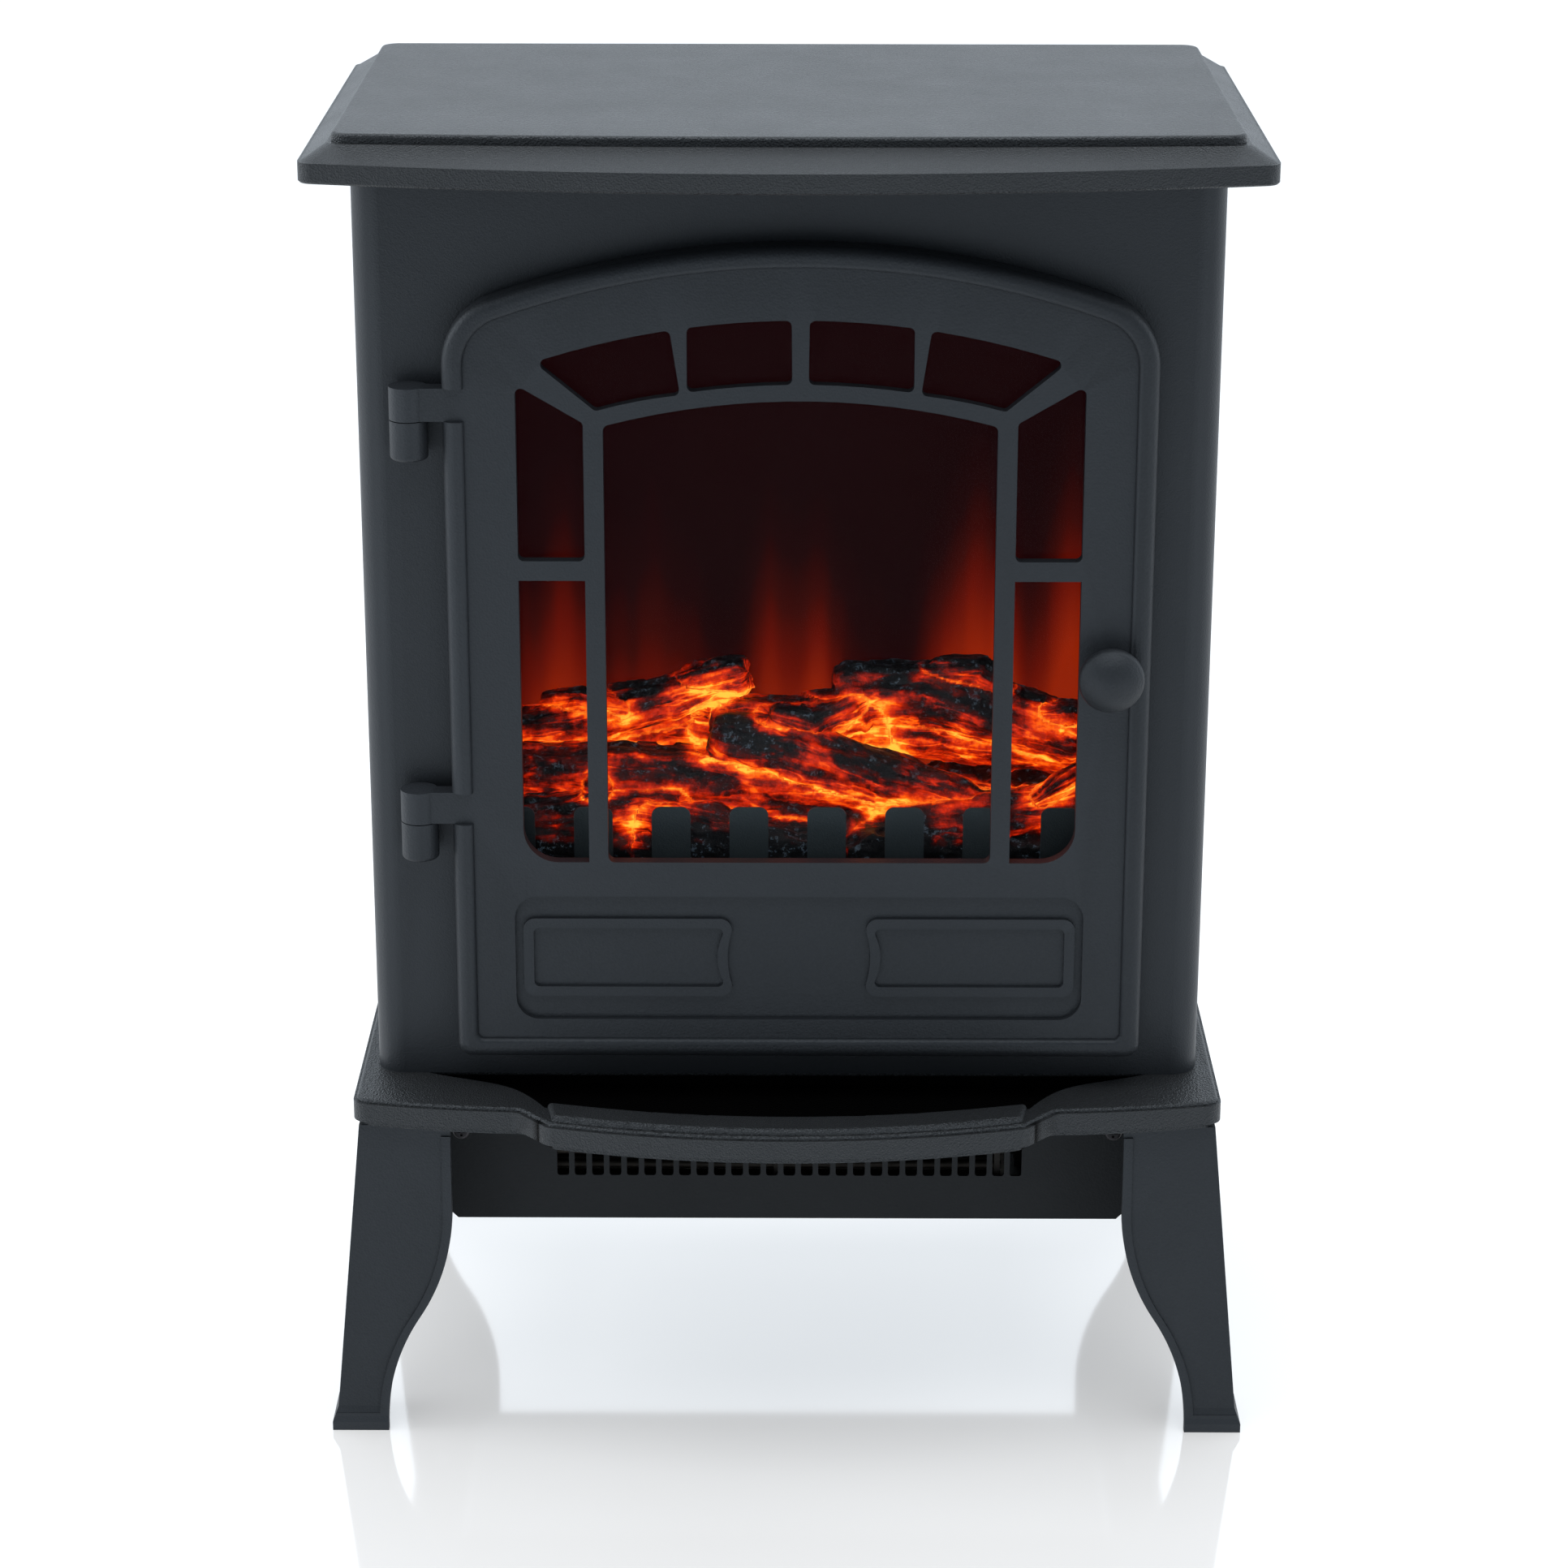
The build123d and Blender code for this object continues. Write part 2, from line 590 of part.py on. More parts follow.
CLIP_SPOTS = [(DOOR_X + side * 128, z) for side in (-1, 1) for z in (300, 380, 450)]
with BuildPart() as door_frame:
    with BuildSketch(front_plane(DOOR_BACK)):
        arch(DOOR_HALF, DOOR_BOTTOM, DOOR_RADIUS, SHOULDER, DOOR_HEEL)
    extrude(amount=DOOR_BACK - DOOR_FIELD)
    with BuildSketch(front_plane(DOOR_FIELD)):
        arch(DOOR_HALF, DOOR_BOTTOM, DOOR_RADIUS, SHOULDER, DOOR_HEEL)
    extrude(amount=DOOR_FIELD - BEAD_FRONT)
    fillet(door_frame.faces().sort_by(Axis.Y)[0].edges(), 5)
    with BuildSketch(front_plane(DOOR_FIELD)):
        arch(
            DOOR_HALF - BEAD_WIDTH,
            DOOR_BOTTOM + BEAD_WIDTH,
            DOOR_RADIUS - BEAD_WIDTH,
            SHOULDER - BEAD_WIDTH,
            FIELD_HEEL,
        )
    extrude(amount=DOOR_FIELD - BEAD_FRONT, mode=Mode.SUBTRACT)
    fillet(door_frame.faces().sort_by(Axis.Y)[0].inner_wires()[0].edges(), 2.3)
    with BuildSketch(front_plane(DOOR_FIELD)):
        for bottom in HINGE_BOTTOMS.values():
            with Locations((DOOR_X - DOOR_HALF - 3, bottom)):
                Rectangle(BEAD_WIDTH + 3.5, KNUCKLE_HEIGHT, align=(Align.MIN, Align.MIN))
    extrude(amount=DOOR_FIELD - BEAD_FRONT + 1, mode=Mode.SUBTRACT)
    for bottom in HINGE_BOTTOMS.values():
        with BuildSketch(Plane.XY.offset(bottom)):
            with Locations((HINGE_X, HINGE_Y)):
                Circle(KNUCKLE_RADIUS)
        extrude(amount=KNUCKLE_HEIGHT)
        with BuildSketch(front_plane(HINGE_Y + 3)):
            with Locations((HINGE_X, bottom)):
                Rectangle(26, KNUCKLE_HEIGHT, align=(Align.MIN, Align.MIN))
        extrude(amount=HINGE_Y + 3 - DOOR_FIELD)
    with BuildSketch(front_plane(DOOR_FIELD)):
        middle_pane()
        for side in (-1, 1):
            side_panes(side)
        for left, right, slant in ((3.7, 47, 0), (-47, -3.7, 0), (54, 85, 25), (-85, -54, 25)):
            arched_pane(left, right, FAN_PANE_TOP, FAN_PANE_BOTTOM, slant)
    extrude(amount=DOOR_FIELD - DOOR_BACK, mode=Mode.SUBTRACT)
    with BuildSketch(front_plane(DOOR_FIELD)):
        with Locations((DOOR_X, CARTOUCHE_Z)):
            RectangleRounded(*CARTOUCHE_FIELD, 10)
    extrude(amount=DOOR_FIELD - RECESS_FLOOR, mode=Mode.SUBTRACT)
    for side in (-1, 1):
        with BuildSketch(front_plane(RECESS_FLOOR)):
            cartouche(side, 0)
        with BuildSketch(front_plane(RECESS_FLOOR), mode=Mode.PRIVATE) as inner:
            cartouche(side, CARTOUCHE_BEAD)
        extrude(amount=CARTOUCHE_RISE)
        extrude(inner.sketch, amount=CARTOUCHE_RISE, mode=Mode.SUBTRACT)
    with BuildSketch(front_plane(DOOR_BACK)):
        arch(*REBATE)
        with Locations((MAGNET_X, MAGNET_Z)):
            Rectangle(10, 24)
    extrude(amount=DOOR_BACK - GLASS_FRONT, mode=Mode.SUBTRACT)
    for bottom in HINGE_BOTTOMS.values():
        with BuildSketch(Plane.XY.offset(bottom)):
            with Locations((HINGE_X, HINGE_Y)):
                Circle(PIN_RADIUS + RUNNING_GAP)
        extrude(amount=KNUCKLE_HEIGHT - 3, mode=Mode.SUBTRACT)
    with BuildSketch(front_plane(DOOR_BACK)):
        with Locations((KNOB_X, KNOB_Z)):
            Circle(SCREW_RADIUS + 0.2)
    extrude(amount=DOOR_BACK - DOOR_FIELD, mode=Mode.SUBTRACT)
save(door_frame, "door_frame")

with BuildPart() as door_glass:
    with BuildSketch(front_plane(GLASS_FRONT + GLASS_THICKNESS)):
        half, bottom, radius, corner = REBATE
        arch(half - GLASS_PLAY, bottom + GLASS_PLAY, radius - GLASS_PLAY, corner - GLASS_PLAY)
    extrude(amount=GLASS_THICKNESS)
save(door_glass, "door_glass")

GLASS_BACK = GLASS_FRONT + GLASS_THICKNESS
with BuildPart() as glass_clips:
    for x, z in CLIP_SPOTS:
        inward = -1 if x > DOOR_X else 1
        with BuildSketch(front_plane(DOOR_BACK + 1)):
            with Locations((x + inward * 1.5, z)):
                RectangleRounded(15, 10, 2)
        extrude(amount=1)
        with BuildSketch(front_plane(DOOR_BACK)):
            with Locations((x + inward * 6, z)):
                Rectangle(4, 10)
        extrude(amount=DOOR_BACK - GLASS_BACK)
        with BuildSketch(front_plane(DOOR_BACK + 1)):
            with Locations((x, z)):
                Circle(SCREW_RADIUS)
        extrude(amount=1, mode=Mode.SUBTRACT)
save(glass_clips, "glass_clips")

clip_face = Plane(origin=(0, DOOR_BACK + 1, 0), x_dir=(-1, 0, 0), z_dir=(0, 1, 0))
with BuildPart() as clip_screws:
    for x, z in CLIP_SPOTS:
        with BuildSketch(clip_face):
            with Locations((-x, z)):
                Circle(3.2)
        extrude(amount=1.4)
        with BuildSketch(clip_face):
            with Locations((-x, z)):
                SlotOverall(5, 0.8)
        extrude(amount=1.4, mode=Mode.SUBTRACT)
        with BuildSketch(clip_face):
            with Locations((-x, z)):
                Circle(SCREW_RADIUS)
        extrude(amount=-1)
        with BuildSketch(clip_face):
            with Locations((-x, z)):
                Circle(SCREW_RADIUS)
        extrude(amount=0.7)
save(clip_screws, "clip_screws")

KNOB_HOLE_DEPTH = 12
KNOB_LENGTH = 19.5
DOME_EDGE = KNOB_RADIUS - 1.5
DOME_RISE = 5.5
dome_radius = (DOME_EDGE**2 + DOME_RISE**2) / (2 * DOME_RISE)
dome_turn = asin(DOME_EDGE / dome_radius) / 2
dome_point = (dome_radius * sin(dome_turn), dome_radius * (1 - cos(dome_turn)) - KNOB_LENGTH)
with BuildPart() as door_knob:
    with BuildSketch(Plane.XY):
        with BuildLine():
            Polyline((SCREW_RADIUS, 0), (8, 0), (8, -2), (6, -3), (6, -6), (KNOB_RADIUS - 1, -8))
            ThreePointArc((KNOB_RADIUS - 1, -8), (KNOB_RADIUS, -11), (DOME_EDGE, DOME_RISE - KNOB_LENGTH))
            ThreePointArc((DOME_EDGE, DOME_RISE - KNOB_LENGTH), dome_point, (0, -KNOB_LENGTH))
            Polyline(
                (0, -KNOB_LENGTH),
                (0, -KNOB_HOLE_DEPTH),
                (SCREW_RADIUS, -KNOB_HOLE_DEPTH),
                (SCREW_RADIUS, 0),
            )
        make_face()
    revolve(axis=Axis.Y)
door_knob.part = door_knob.part.moved(Location((KNOB_X, DOOR_FIELD, KNOB_Z)))
save(door_knob, "door_knob")

door_back_plane = Plane(origin=(0, DOOR_BACK, 0), x_dir=(-1, 0, 0), z_dir=(0, 1, 0))
with BuildPart() as knob_screw:
    with BuildSketch(door_back_plane):
        with Locations((-KNOB_X, KNOB_Z)):
            Circle(4)
    extrude(amount=2)
    with BuildSketch(door_back_plane.offset(2)):
        with Locations((-KNOB_X, KNOB_Z)):
            SlotOverall(6, 1)
    extrude(amount=-0.8, mode=Mode.SUBTRACT)
    with BuildSketch(door_back_plane):
        with Locations((-KNOB_X, KNOB_Z)):
            Circle(SCREW_RADIUS)
    extrude(amount=DOOR_FIELD - DOOR_BACK - KNOB_HOLE_DEPTH + 1)
save(knob_screw, "knob_screw")

CATCH_THICKNESS = 1.5
MAGNET_GAP = 0.5
with BuildPart() as door_magnet:
    with BuildSketch(front_plane(BODY_FRONT - CATCH_THICKNESS - MAGNET_GAP)):
        with Locations((MAGNET_X, MAGNET_Z)):
            RectangleRounded(9.6, 23.6, 1)
    extrude(amount=BODY_FRONT - CATCH_THICKNESS - MAGNET_GAP - GLASS_FRONT)
save(door_magnet, "door_magnet")

with BuildPart() as catch_plate:
    with BuildSketch(front_plane(BODY_FRONT)):
        with Locations((MAGNET_X, MAGNET_Z)):
            RectangleRounded(12, 40, 3)
            with GridLocations(0, 32, 1, 2):
                Circle(1.2, mode=Mode.SUBTRACT)
    extrude(amount=CATCH_THICKNESS)
save(catch_plate, "catch_plate")

BRACKET_PLATE = 2
for label, bottom in HINGE_BOTTOMS.items():
    knuckle_top = bottom - HINGE_GAP
    with BuildPart() as bracket:
        with BuildSketch(Plane.XY.offset(knuckle_top)):
            with Locations((HINGE_X, HINGE_Y)):
                Circle(KNUCKLE_RADIUS)
        extrude(amount=-FIXED_KNUCKLE)
        fillet(bracket.faces().sort_by(Axis.Z)[0].edges(), 2)
        with BuildSketch(front_plane(BODY_FRONT + SHEET)):
            with Locations((HINGE_X, bottom - BRACKET_DROP)):
                Rectangle(8, 11)
        extrude(amount=BODY_FRONT + SHEET - HINGE_Y)
        with BuildSketch(front_plane(BODY_FRONT + SHEET + BRACKET_PLATE)):
            with Locations((HINGE_X + 2, bottom - BRACKET_DROP)):
                RectangleRounded(20, 34, 2)
                with GridLocations(0, 26, 1, 2):
                    Circle(SCREW_RADIUS, mode=Mode.SUBTRACT)
        extrude(amount=BRACKET_PLATE)
        with BuildSketch(Plane.XY.offset(knuckle_top)):
            with Locations((HINGE_X, HINGE_Y)):
                Circle(PIN_RADIUS)
        extrude(amount=2.5 - KNUCKLE_HEIGHT, mode=Mode.SUBTRACT)
    save(bracket, f"hinge_bracket_{label}")

with BuildPart() as hinge_pins:
    for bottom in HINGE_BOTTOMS.values():
        with BuildSketch(Plane.XY.offset(bottom - HINGE_GAP - KNUCKLE_HEIGHT + 2.5)):
            with Locations((HINGE_X, HINGE_Y)):
                Circle(PIN_RADIUS)
        extrude(amount=2 * KNUCKLE_HEIGHT - 7)
    chamfer(hinge_pins.edges().filter_by(GeomType.CIRCLE), 0.4)
save(hinge_pins, "hinge_pins")


# ---------------------------------------------------------------- controls behind the door
TRAY_BACK = CONTROL_FACE + SHEET
ROCKER_WIDTH = 11.4
ROCKER_HALF = 8.5
ROCKER_PIN = 1.2
with BuildPart() as control_panel:
    with BuildSketch(front_plane(TRAY_BACK)):
        with Locations((CONTROL_X, CONTROL_Z)):
            RectangleRounded(CONTROL_WIDTH + 4, CONTROL_HEIGHT + 4, 6)
    extrude(amount=TRAY_BACK - BODY_FRONT - SHEET)
    with BuildSketch(front_plane(BODY_FRONT + 2 * SHEET)):
        with Locations((CONTROL_X, CONTROL_Z)):
            RectangleRounded(CONTROL_WIDTH + 20, CONTROL_HEIGHT + 9, 4)
    extrude(amount=SHEET)
    with BuildSketch(front_plane(CONTROL_FACE)):
        with Locations((CONTROL_X, CONTROL_Z)):
            RectangleRounded(CONTROL_WIDTH, CONTROL_HEIGHT, 4)
    extrude(amount=CONTROL_FACE - BODY_FRONT - SHEET, mode=Mode.SUBTRACT)
    with BuildSketch(front_plane(TRAY_BACK)):
        for x in ROCKER_SPOTS.values():
            with Locations((x, CONTROL_Z)):
                Rectangle(14.2, 21.2)
        with Locations((DIAL_X, CONTROL_Z)):
            Circle(SHAFT_RADIUS + 2)
    extrude(amount=SHEET, mode=Mode.SUBTRACT)
save(control_panel, "control_panel")

with BuildPart() as switch_bodies:
    for x in ROCKER_SPOTS.values():
        with BuildSketch(front_plane(CONTROL_FACE)):
            with Locations((x, CONTROL_Z)):
                RectangleRounded(17, 25, 2)
        extrude(amount=3)
        with BuildSketch(front_plane(CONTROL_FACE + 18)):
            with Locations((x, CONTROL_Z)):
                Rectangle(14, 21)
        extrude(amount=18)
        with BuildSketch(front_plane(CONTROL_FACE + 6)):
            with Locations((x, CONTROL_Z)):
                Rectangle(ROCKER_WIDTH + 0.6, 2 * ROCKER_HALF + 2)
        extrude(amount=9, mode=Mode.SUBTRACT)
        with BuildSketch(side_plane(x - 7)):
            with Locations((ROCKER_PIVOT_Y, CONTROL_Z)):
                Circle(ROCKER_PIN + RUNNING_GAP)
        extrude(amount=14, mode=Mode.SUBTRACT)
        with BuildSketch(front_plane(CONTROL_FACE + 26)):
            with Locations((x, CONTROL_Z)):
                with GridLocations(0, 7, 1, 3):
                    Rectangle(4.8, 0.8)
        extrude(amount=8)
save(switch_bodies, "switch_bodies")

for label, x in ROCKER_SPOTS.items():
    with BuildPart() as rocker:
        with BuildSketch(side_plane(x - ROCKER_WIDTH / 2)):
            with Locations(Location((ROCKER_PIVOT_Y, CONTROL_Z, 0), (0, 0, ROCKER_TILT))):
                Polygon(
                    (-4.6, ROCKER_HALF),
                    (-3.2, 0),
                    (-4.6, -ROCKER_HALF),
                    (1.6, -ROCKER_HALF + 1.2),
                    (2.6, 0),
                    (1.6, ROCKER_HALF - 1.2),
                    align=None,
                )
        extrude(amount=ROCKER_WIDTH)
        fillet(rocker.edges().filter_by(Axis.X).sort_by(Axis.Y)[:3], 0.6)
        with BuildSketch(side_plane(x - 6.9)):
            with Locations((ROCKER_PIVOT_Y, CONTROL_Z)):
                Circle(ROCKER_PIN)
        extrude(amount=13.8)
    save(rocker, f"rocker_{label}")

DIAL_BACK = CONTROL_FACE - 1
with BuildPart() as thermostat_body:
    with BuildSketch(front_plane(TRAY_BACK + 20)):
        with Locations((DIAL_X, CONTROL_Z)):
            RectangleRounded(30, 26, 3)
    extrude(amount=20)
    with BuildSketch(front_plane(TRAY_BACK + 27)):
        with Locations((DIAL_X, CONTROL_Z)):
            with GridLocations(14, 0, 2, 1):
                Rectangle(0.8, 6)
    extrude(amount=7)
    with BuildSketch(front_plane(TRAY_BACK + 14)):
        with Locations((DIAL_X, CONTROL_Z)):
            Circle(SHAFT_RADIUS + RUNNING_GAP)
    extrude(amount=14, mode=Mode.SUBTRACT)
save(thermostat_body, "thermostat_body")

with BuildPart() as thermostat_knob:
    with BuildSketch(front_plane(DIAL_BACK)):
        with Locations((DIAL_X, CONTROL_Z)):
            Circle(DIAL_RADIUS)
            with PolarLocations(DIAL_RADIUS + 0.5, 24):
                Circle(1, mode=Mode.SUBTRACT)
    extrude(amount=6)
    with BuildSketch(front_plane(DIAL_BACK - 6)):
        with Locations((DIAL_X, CONTROL_Z)):
            SlotOverall(22, 5, rotation=90)
    extrude(amount=5.5)
    fillet(thermostat_knob.faces().sort_by(Axis.Y)[0].edges(), 0.8)
    with BuildSketch(front_plane(DIAL_BACK)):
        with Locations((DIAL_X, CONTROL_Z)):
            Circle(SHAFT_RADIUS)
    extrude(amount=4, mode=Mode.SUBTRACT)
save(thermostat_knob, "thermostat_knob")

with BuildPart() as thermostat_shaft:
    with BuildSketch(front_plane(TRAY_BACK + 13)):
        with Locations((DIAL_X, CONTROL_Z)):
            Circle(SHAFT_RADIUS)
    extrude(amount=TRAY_BACK + 13 - DIAL_BACK + 4)
save(thermostat_shaft, "thermostat_shaft")


# ---------------------------------------------------------------- fan heater under the base
HEATER_MID_Z = (HEATER_BOTTOM + HEATER_TOP) / 2
with BuildPart() as heater_housing:
    with BuildSketch(front_plane(HEATER_REAR)):
        with Locations((0, HEATER_MID_Z)):
            Rectangle(2 * HEATER_HALF, HEATER_TOP - HEATER_BOTTOM)
    extrude(amount=HEATER_REAR - HEATER_FRONT - SHEET)
    chamfer(heater_housing.edges().filter_by(Axis.Y).group_by(Axis.Z)[0], 3)
    with BuildSketch(front_plane(HEATER_REAR - SHEET)):
        with Locations((0, HEATER_MID_Z)):
            Rectangle(2 * (HEATER_HALF - SHEET), HEATER_TOP - HEATER_BOTTOM - 2 * SHEET)
    extrude(amount=HEATER_REAR - HEATER_FRONT, mode=Mode.SUBTRACT)
    with BuildSketch(front_plane(HEATER_REAR)):
        with Locations((-5, FAN_Z)):
            with GridLocations(9, 22, 24, 2):
                SlotOverall(18, 5, rotation=90)
    extrude(amount=SHEET, mode=Mode.SUBTRACT)
    with BuildSketch(Plane.XY.offset(HEATER_TOP)):
        with Locations(*HEATER_SCREW_SPOTS):
            Circle(SCREW_RADIUS)
    extrude(amount=-SHEET, mode=Mode.SUBTRACT)
save(heater_housing, "heater_housing")

GRILLE_SCREWS = [(x, 124) for x in (-145.5, 145.5)]
with BuildPart() as outlet_grille:
    with BuildSketch(front_plane(HEATER_FRONT + SHEET)):
        with Locations((0, HEATER_MID_Z)):
            plate = Rectangle(2 * HEATER_HALF, HEATER_TOP - HEATER_BOTTOM)
        chamfer(plate.vertices().group_by(Axis.Y)[0], 3)
        with Locations((1, (SLOT_BOTTOM + SLOT_TOP) / 2)):
            with GridLocations(SLOT_PITCH, 0, SLOT_COUNT, 1):
                RectangleRounded(SLOT_WIDTH, SLOT_TOP - SLOT_BOTTOM, 1.2, mode=Mode.SUBTRACT)
        with Locations(*GRILLE_SCREWS):
            Circle(SCREW_RADIUS, mode=Mode.SUBTRACT)
    extrude(amount=SHEET)
save(outlet_grille, "outlet_grille")
save(pan_screws(GRILLE_SCREWS, front_plane(HEATER_FRONT), 3), "grille_screws")

with BuildPart() as heater_spacers:
    with BuildSketch(Plane.XY.offset(HEATER_TOP)):
        for spot in HEATER_SCREW_SPOTS:
            with Locations(spot):
                Circle(6)
                Circle(SCREW_RADIUS, mode=Mode.SUBTRACT)
    extrude(amount=BASE_BOTTOM - HEATER_TOP)
save(heater_spacers, "heater_spacers")
heater_screw_length = BASE_FLOOR - HEATER_TOP + SHEET
save(pan_screws(HEATER_SCREW_SPOTS, Plane.XY.offset(BASE_FLOOR), heater_screw_length, 4.5), "heater_screws")

SCROLL_GAP = 4
SCROLL_SHEET = 1.2
DUCT_FRONT = -60
DUCT_HALF = 17
DUCT_ANGLE = radians(23)
PLATE_LEFT = FAN_LEFT - 5
PLATE_RIGHT = FAN_RIGHT + 5
SCROLL_RADIUS = FAN_RADIUS + SCROLL_GAP
with BuildPart() as fan_scroll:
    with BuildSketch(side_plane(PLATE_LEFT)):
        with Locations((FAN_Y, FAN_Z)):
            Circle(SCROLL_RADIUS + SCROLL_SHEET)
            Circle(SCROLL_RADIUS, mode=Mode.SUBTRACT)
        Polygon(
            (FAN_Y, FAN_Z),
            (DUCT_FRONT, FAN_Z + 20),
            (DUCT_FRONT, FAN_Z - 20),
            align=None,
            mode=Mode.SUBTRACT,
        )
        Polygon((FAN_Y, FAN_Z), (60, FAN_Z + 42), (60, FAN_Z - 42), align=None, mode=Mode.SUBTRACT)
        for z_side in (-1, 1):
            with BuildLine() as deflector:
                edge_y = FAN_Y - SCROLL_RADIUS * cos(DUCT_ANGLE)
                edge_z = FAN_Z + z_side * (SCROLL_RADIUS * sin(DUCT_ANGLE))
                Polyline(
                    (edge_y, edge_z),
                    (DUCT_FRONT, FAN_Z + z_side * DUCT_HALF),
                    (DUCT_FRONT, FAN_Z + z_side * (DUCT_HALF + SCROLL_SHEET)),
                    (edge_y, edge_z + z_side * SCROLL_SHEET * 1.3),
                    close=True,
                )
            make_face()
    extrude(amount=PLATE_RIGHT - PLATE_LEFT)
    for x in (PLATE_LEFT - 1, PLATE_RIGHT):
        with BuildSketch(side_plane(x)):
            with Locations((FAN_Y, FAN_Z)):
                RectangleRounded(56, 54, 6)
                Circle(SHAFT_RADIUS + 4, mode=Mode.SUBTRACT)
        extrude(amount=1)
save(fan_scroll, "fan_scroll")

BLADES = 18
with BuildPart() as impeller_blades:
    with BuildSketch(side_plane(FAN_LEFT)):
        with Locations((FAN_Y, FAN_Z)):
            with PolarLocations(FAN_RADIUS - 2.6, BLADES):
                Rectangle(5, 0.8, rotation=35)
    extrude(amount=FAN_RIGHT - FAN_LEFT)
    for x in (FAN_LEFT, (FAN_LEFT + FAN_RIGHT) / 2, FAN_RIGHT - 1):
        with BuildSketch(side_plane(x)):
            with Locations((FAN_Y, FAN_Z)):
                Circle(FAN_RADIUS)
                Circle(SHAFT_RADIUS, mode=Mode.SUBTRACT)
        extrude(amount=1)
save(impeller_blades, "impeller_blades")

MOTOR_BORE_END = PLATE_RIGHT + 22
with BuildPart() as impeller_shaft:
    with BuildSketch(side_plane(PLATE_LEFT - 5)):
        with Locations((FAN_Y, FAN_Z)):
            Circle(SHAFT_RADIUS)
    extrude(amount=MOTOR_BORE_END - 2 - PLATE_LEFT + 5)
save(impeller_shaft, "impeller_shaft")

with BuildPart() as fan_bush:
    with BuildSketch(side_plane(PLATE_LEFT - 6)):
        with Locations((FAN_Y, FAN_Z)):
            Circle(SHAFT_RADIUS + 4)
            Circle(SHAFT_RADIUS + RUNNING_GAP, mode=Mode.SUBTRACT)
    extrude(amount=6)
    fillet(fan_bush.faces().sort_by(Axis.X)[0].edges().sort_by(SortBy.RADIUS)[-1], 1.5)
save(fan_bush, "fan_bush")

MOTOR_STACK = 12
with BuildPart() as fan_motor:
    with BuildSketch(side_plane(PLATE_RIGHT + 1)):
        with Locations((FAN_Y, FAN_Z)):
            RectangleRounded(30, 34, 3)
    extrude(amount=MOTOR_BORE_END - PLATE_RIGHT + 2)
    with BuildSketch(side_plane(PLATE_RIGHT + 5)):
        with Locations((FAN_Y + 8, FAN_Z)):
            Rectangle(48, 44)
    extrude(amount=MOTOR_STACK)
    with BuildSketch(side_plane(PLATE_RIGHT + 5)):
        with Locations((FAN_Y + 24, FAN_Z)):
            Rectangle(8, 24)
    extrude(amount=MOTOR_STACK, mode=Mode.SUBTRACT)
    with BuildSketch(side_plane(PLATE_RIGHT + 1)):
        with Locations((FAN_Y, FAN_Z)):
            Circle(SHAFT_RADIUS + RUNNING_GAP)
    extrude(amount=MOTOR_BORE_END - PLATE_RIGHT - 1, mode=Mode.SUBTRACT)
save(fan_motor, "fan_motor")

with BuildPart() as motor_coil:
    with BuildSketch(Plane.XY.offset(FAN_Z - 11.8)):
        with Locations((PLATE_RIGHT + 11, FAN_Y + 30)):
            RectangleRounded(20, 11, 3)
            Rectangle(12, 4, mode=Mode.SUBTRACT)
    extrude(amount=23.6)
save(motor_coil, "motor_coil")

ELEMENT_Y = -52
with BuildPart() as element_frame:
    for x in (PLATE_LEFT + 2, -6, PLATE_RIGHT - 6):
        with BuildSketch(side_plane(x)):
            with Locations((ELEMENT_Y, FAN_Z)):
                Rectangle(13, 26)
                with GridLocations(6, 7, 2, 3):
                    Circle(2.2, mode=Mode.SUBTRACT)
        extrude(amount=2.5)
    for z in (FAN_Z - 13, FAN_Z + 12):
        with BuildSketch(Plane.XY.offset(z)):
            with Locations(((PLATE_LEFT + PLATE_RIGHT) / 2, ELEMENT_Y)):
                Rectangle(PLATE_RIGHT - PLATE_LEFT - 6, 6)
        extrude(amount=1)
save(element_frame, "element_frame")

with BuildPart() as heating_coils:
    with BuildSketch(side_plane(PLATE_LEFT + 1)):
        with Locations((ELEMENT_Y, FAN_Z)):
            with GridLocations(6, 7, 2, 3):
                Circle(1.9)
    extrude(amount=PLATE_RIGHT - PLATE_LEFT - 4)
save(heating_coils, "heating_coils")

CUTOUT_SPOT = (60, -48)
with BuildPart() as thermal_cutout:
    with BuildSketch(Plane.XY.offset(HEATER_TOP - SHEET)):
        with Locations(CUTOUT_SPOT):
            Rectangle(24, 9)
            with GridLocations(18, 0, 2, 1):
                Circle(1.6, mode=Mode.SUBTRACT)
    extrude(amount=-1)
    with BuildSketch(Plane.XY.offset(HEATER_TOP - SHEET - 1)):
        with Locations(CUTOUT_SPOT):
            Circle(5.5)
    extrude(amount=-6)
save(thermal_cutout, "thermal_cutout")


# ---------------------------------------------------------------- firebox and flame effect
def open_box(front_y, rear_y, back):
    """Sheet box open to the front, with or without a back, round the flame picture."""
    with BuildPart() as box:
        with BuildSketch(front_plane(rear_y)):
            with Locations((0, (LINER_BOTTOM + LINER_TOP) / 2)):
                Rectangle(2 * LINER_HALF, LINER_TOP - LINER_BOTTOM)
        extrude(amount=rear_y - front_y)
        with BuildSketch(front_plane(rear_y - back)):
            with Locations((0, (LINER_BOTTOM + LINER_TOP) / 2)):
                Rectangle(2 * (LINER_HALF - SHEET), LINER_TOP - LINER_BOTTOM - 2 * SHEET)
        extrude(amount=rear_y - front_y, mode=Mode.SUBTRACT)
    return box


SCREEN_REAR = SCREEN_Y + SCREEN_THICKNESS
save(open_box(BODY_FRONT + SHEET, SCREEN_Y, 0), "firebox_liner")

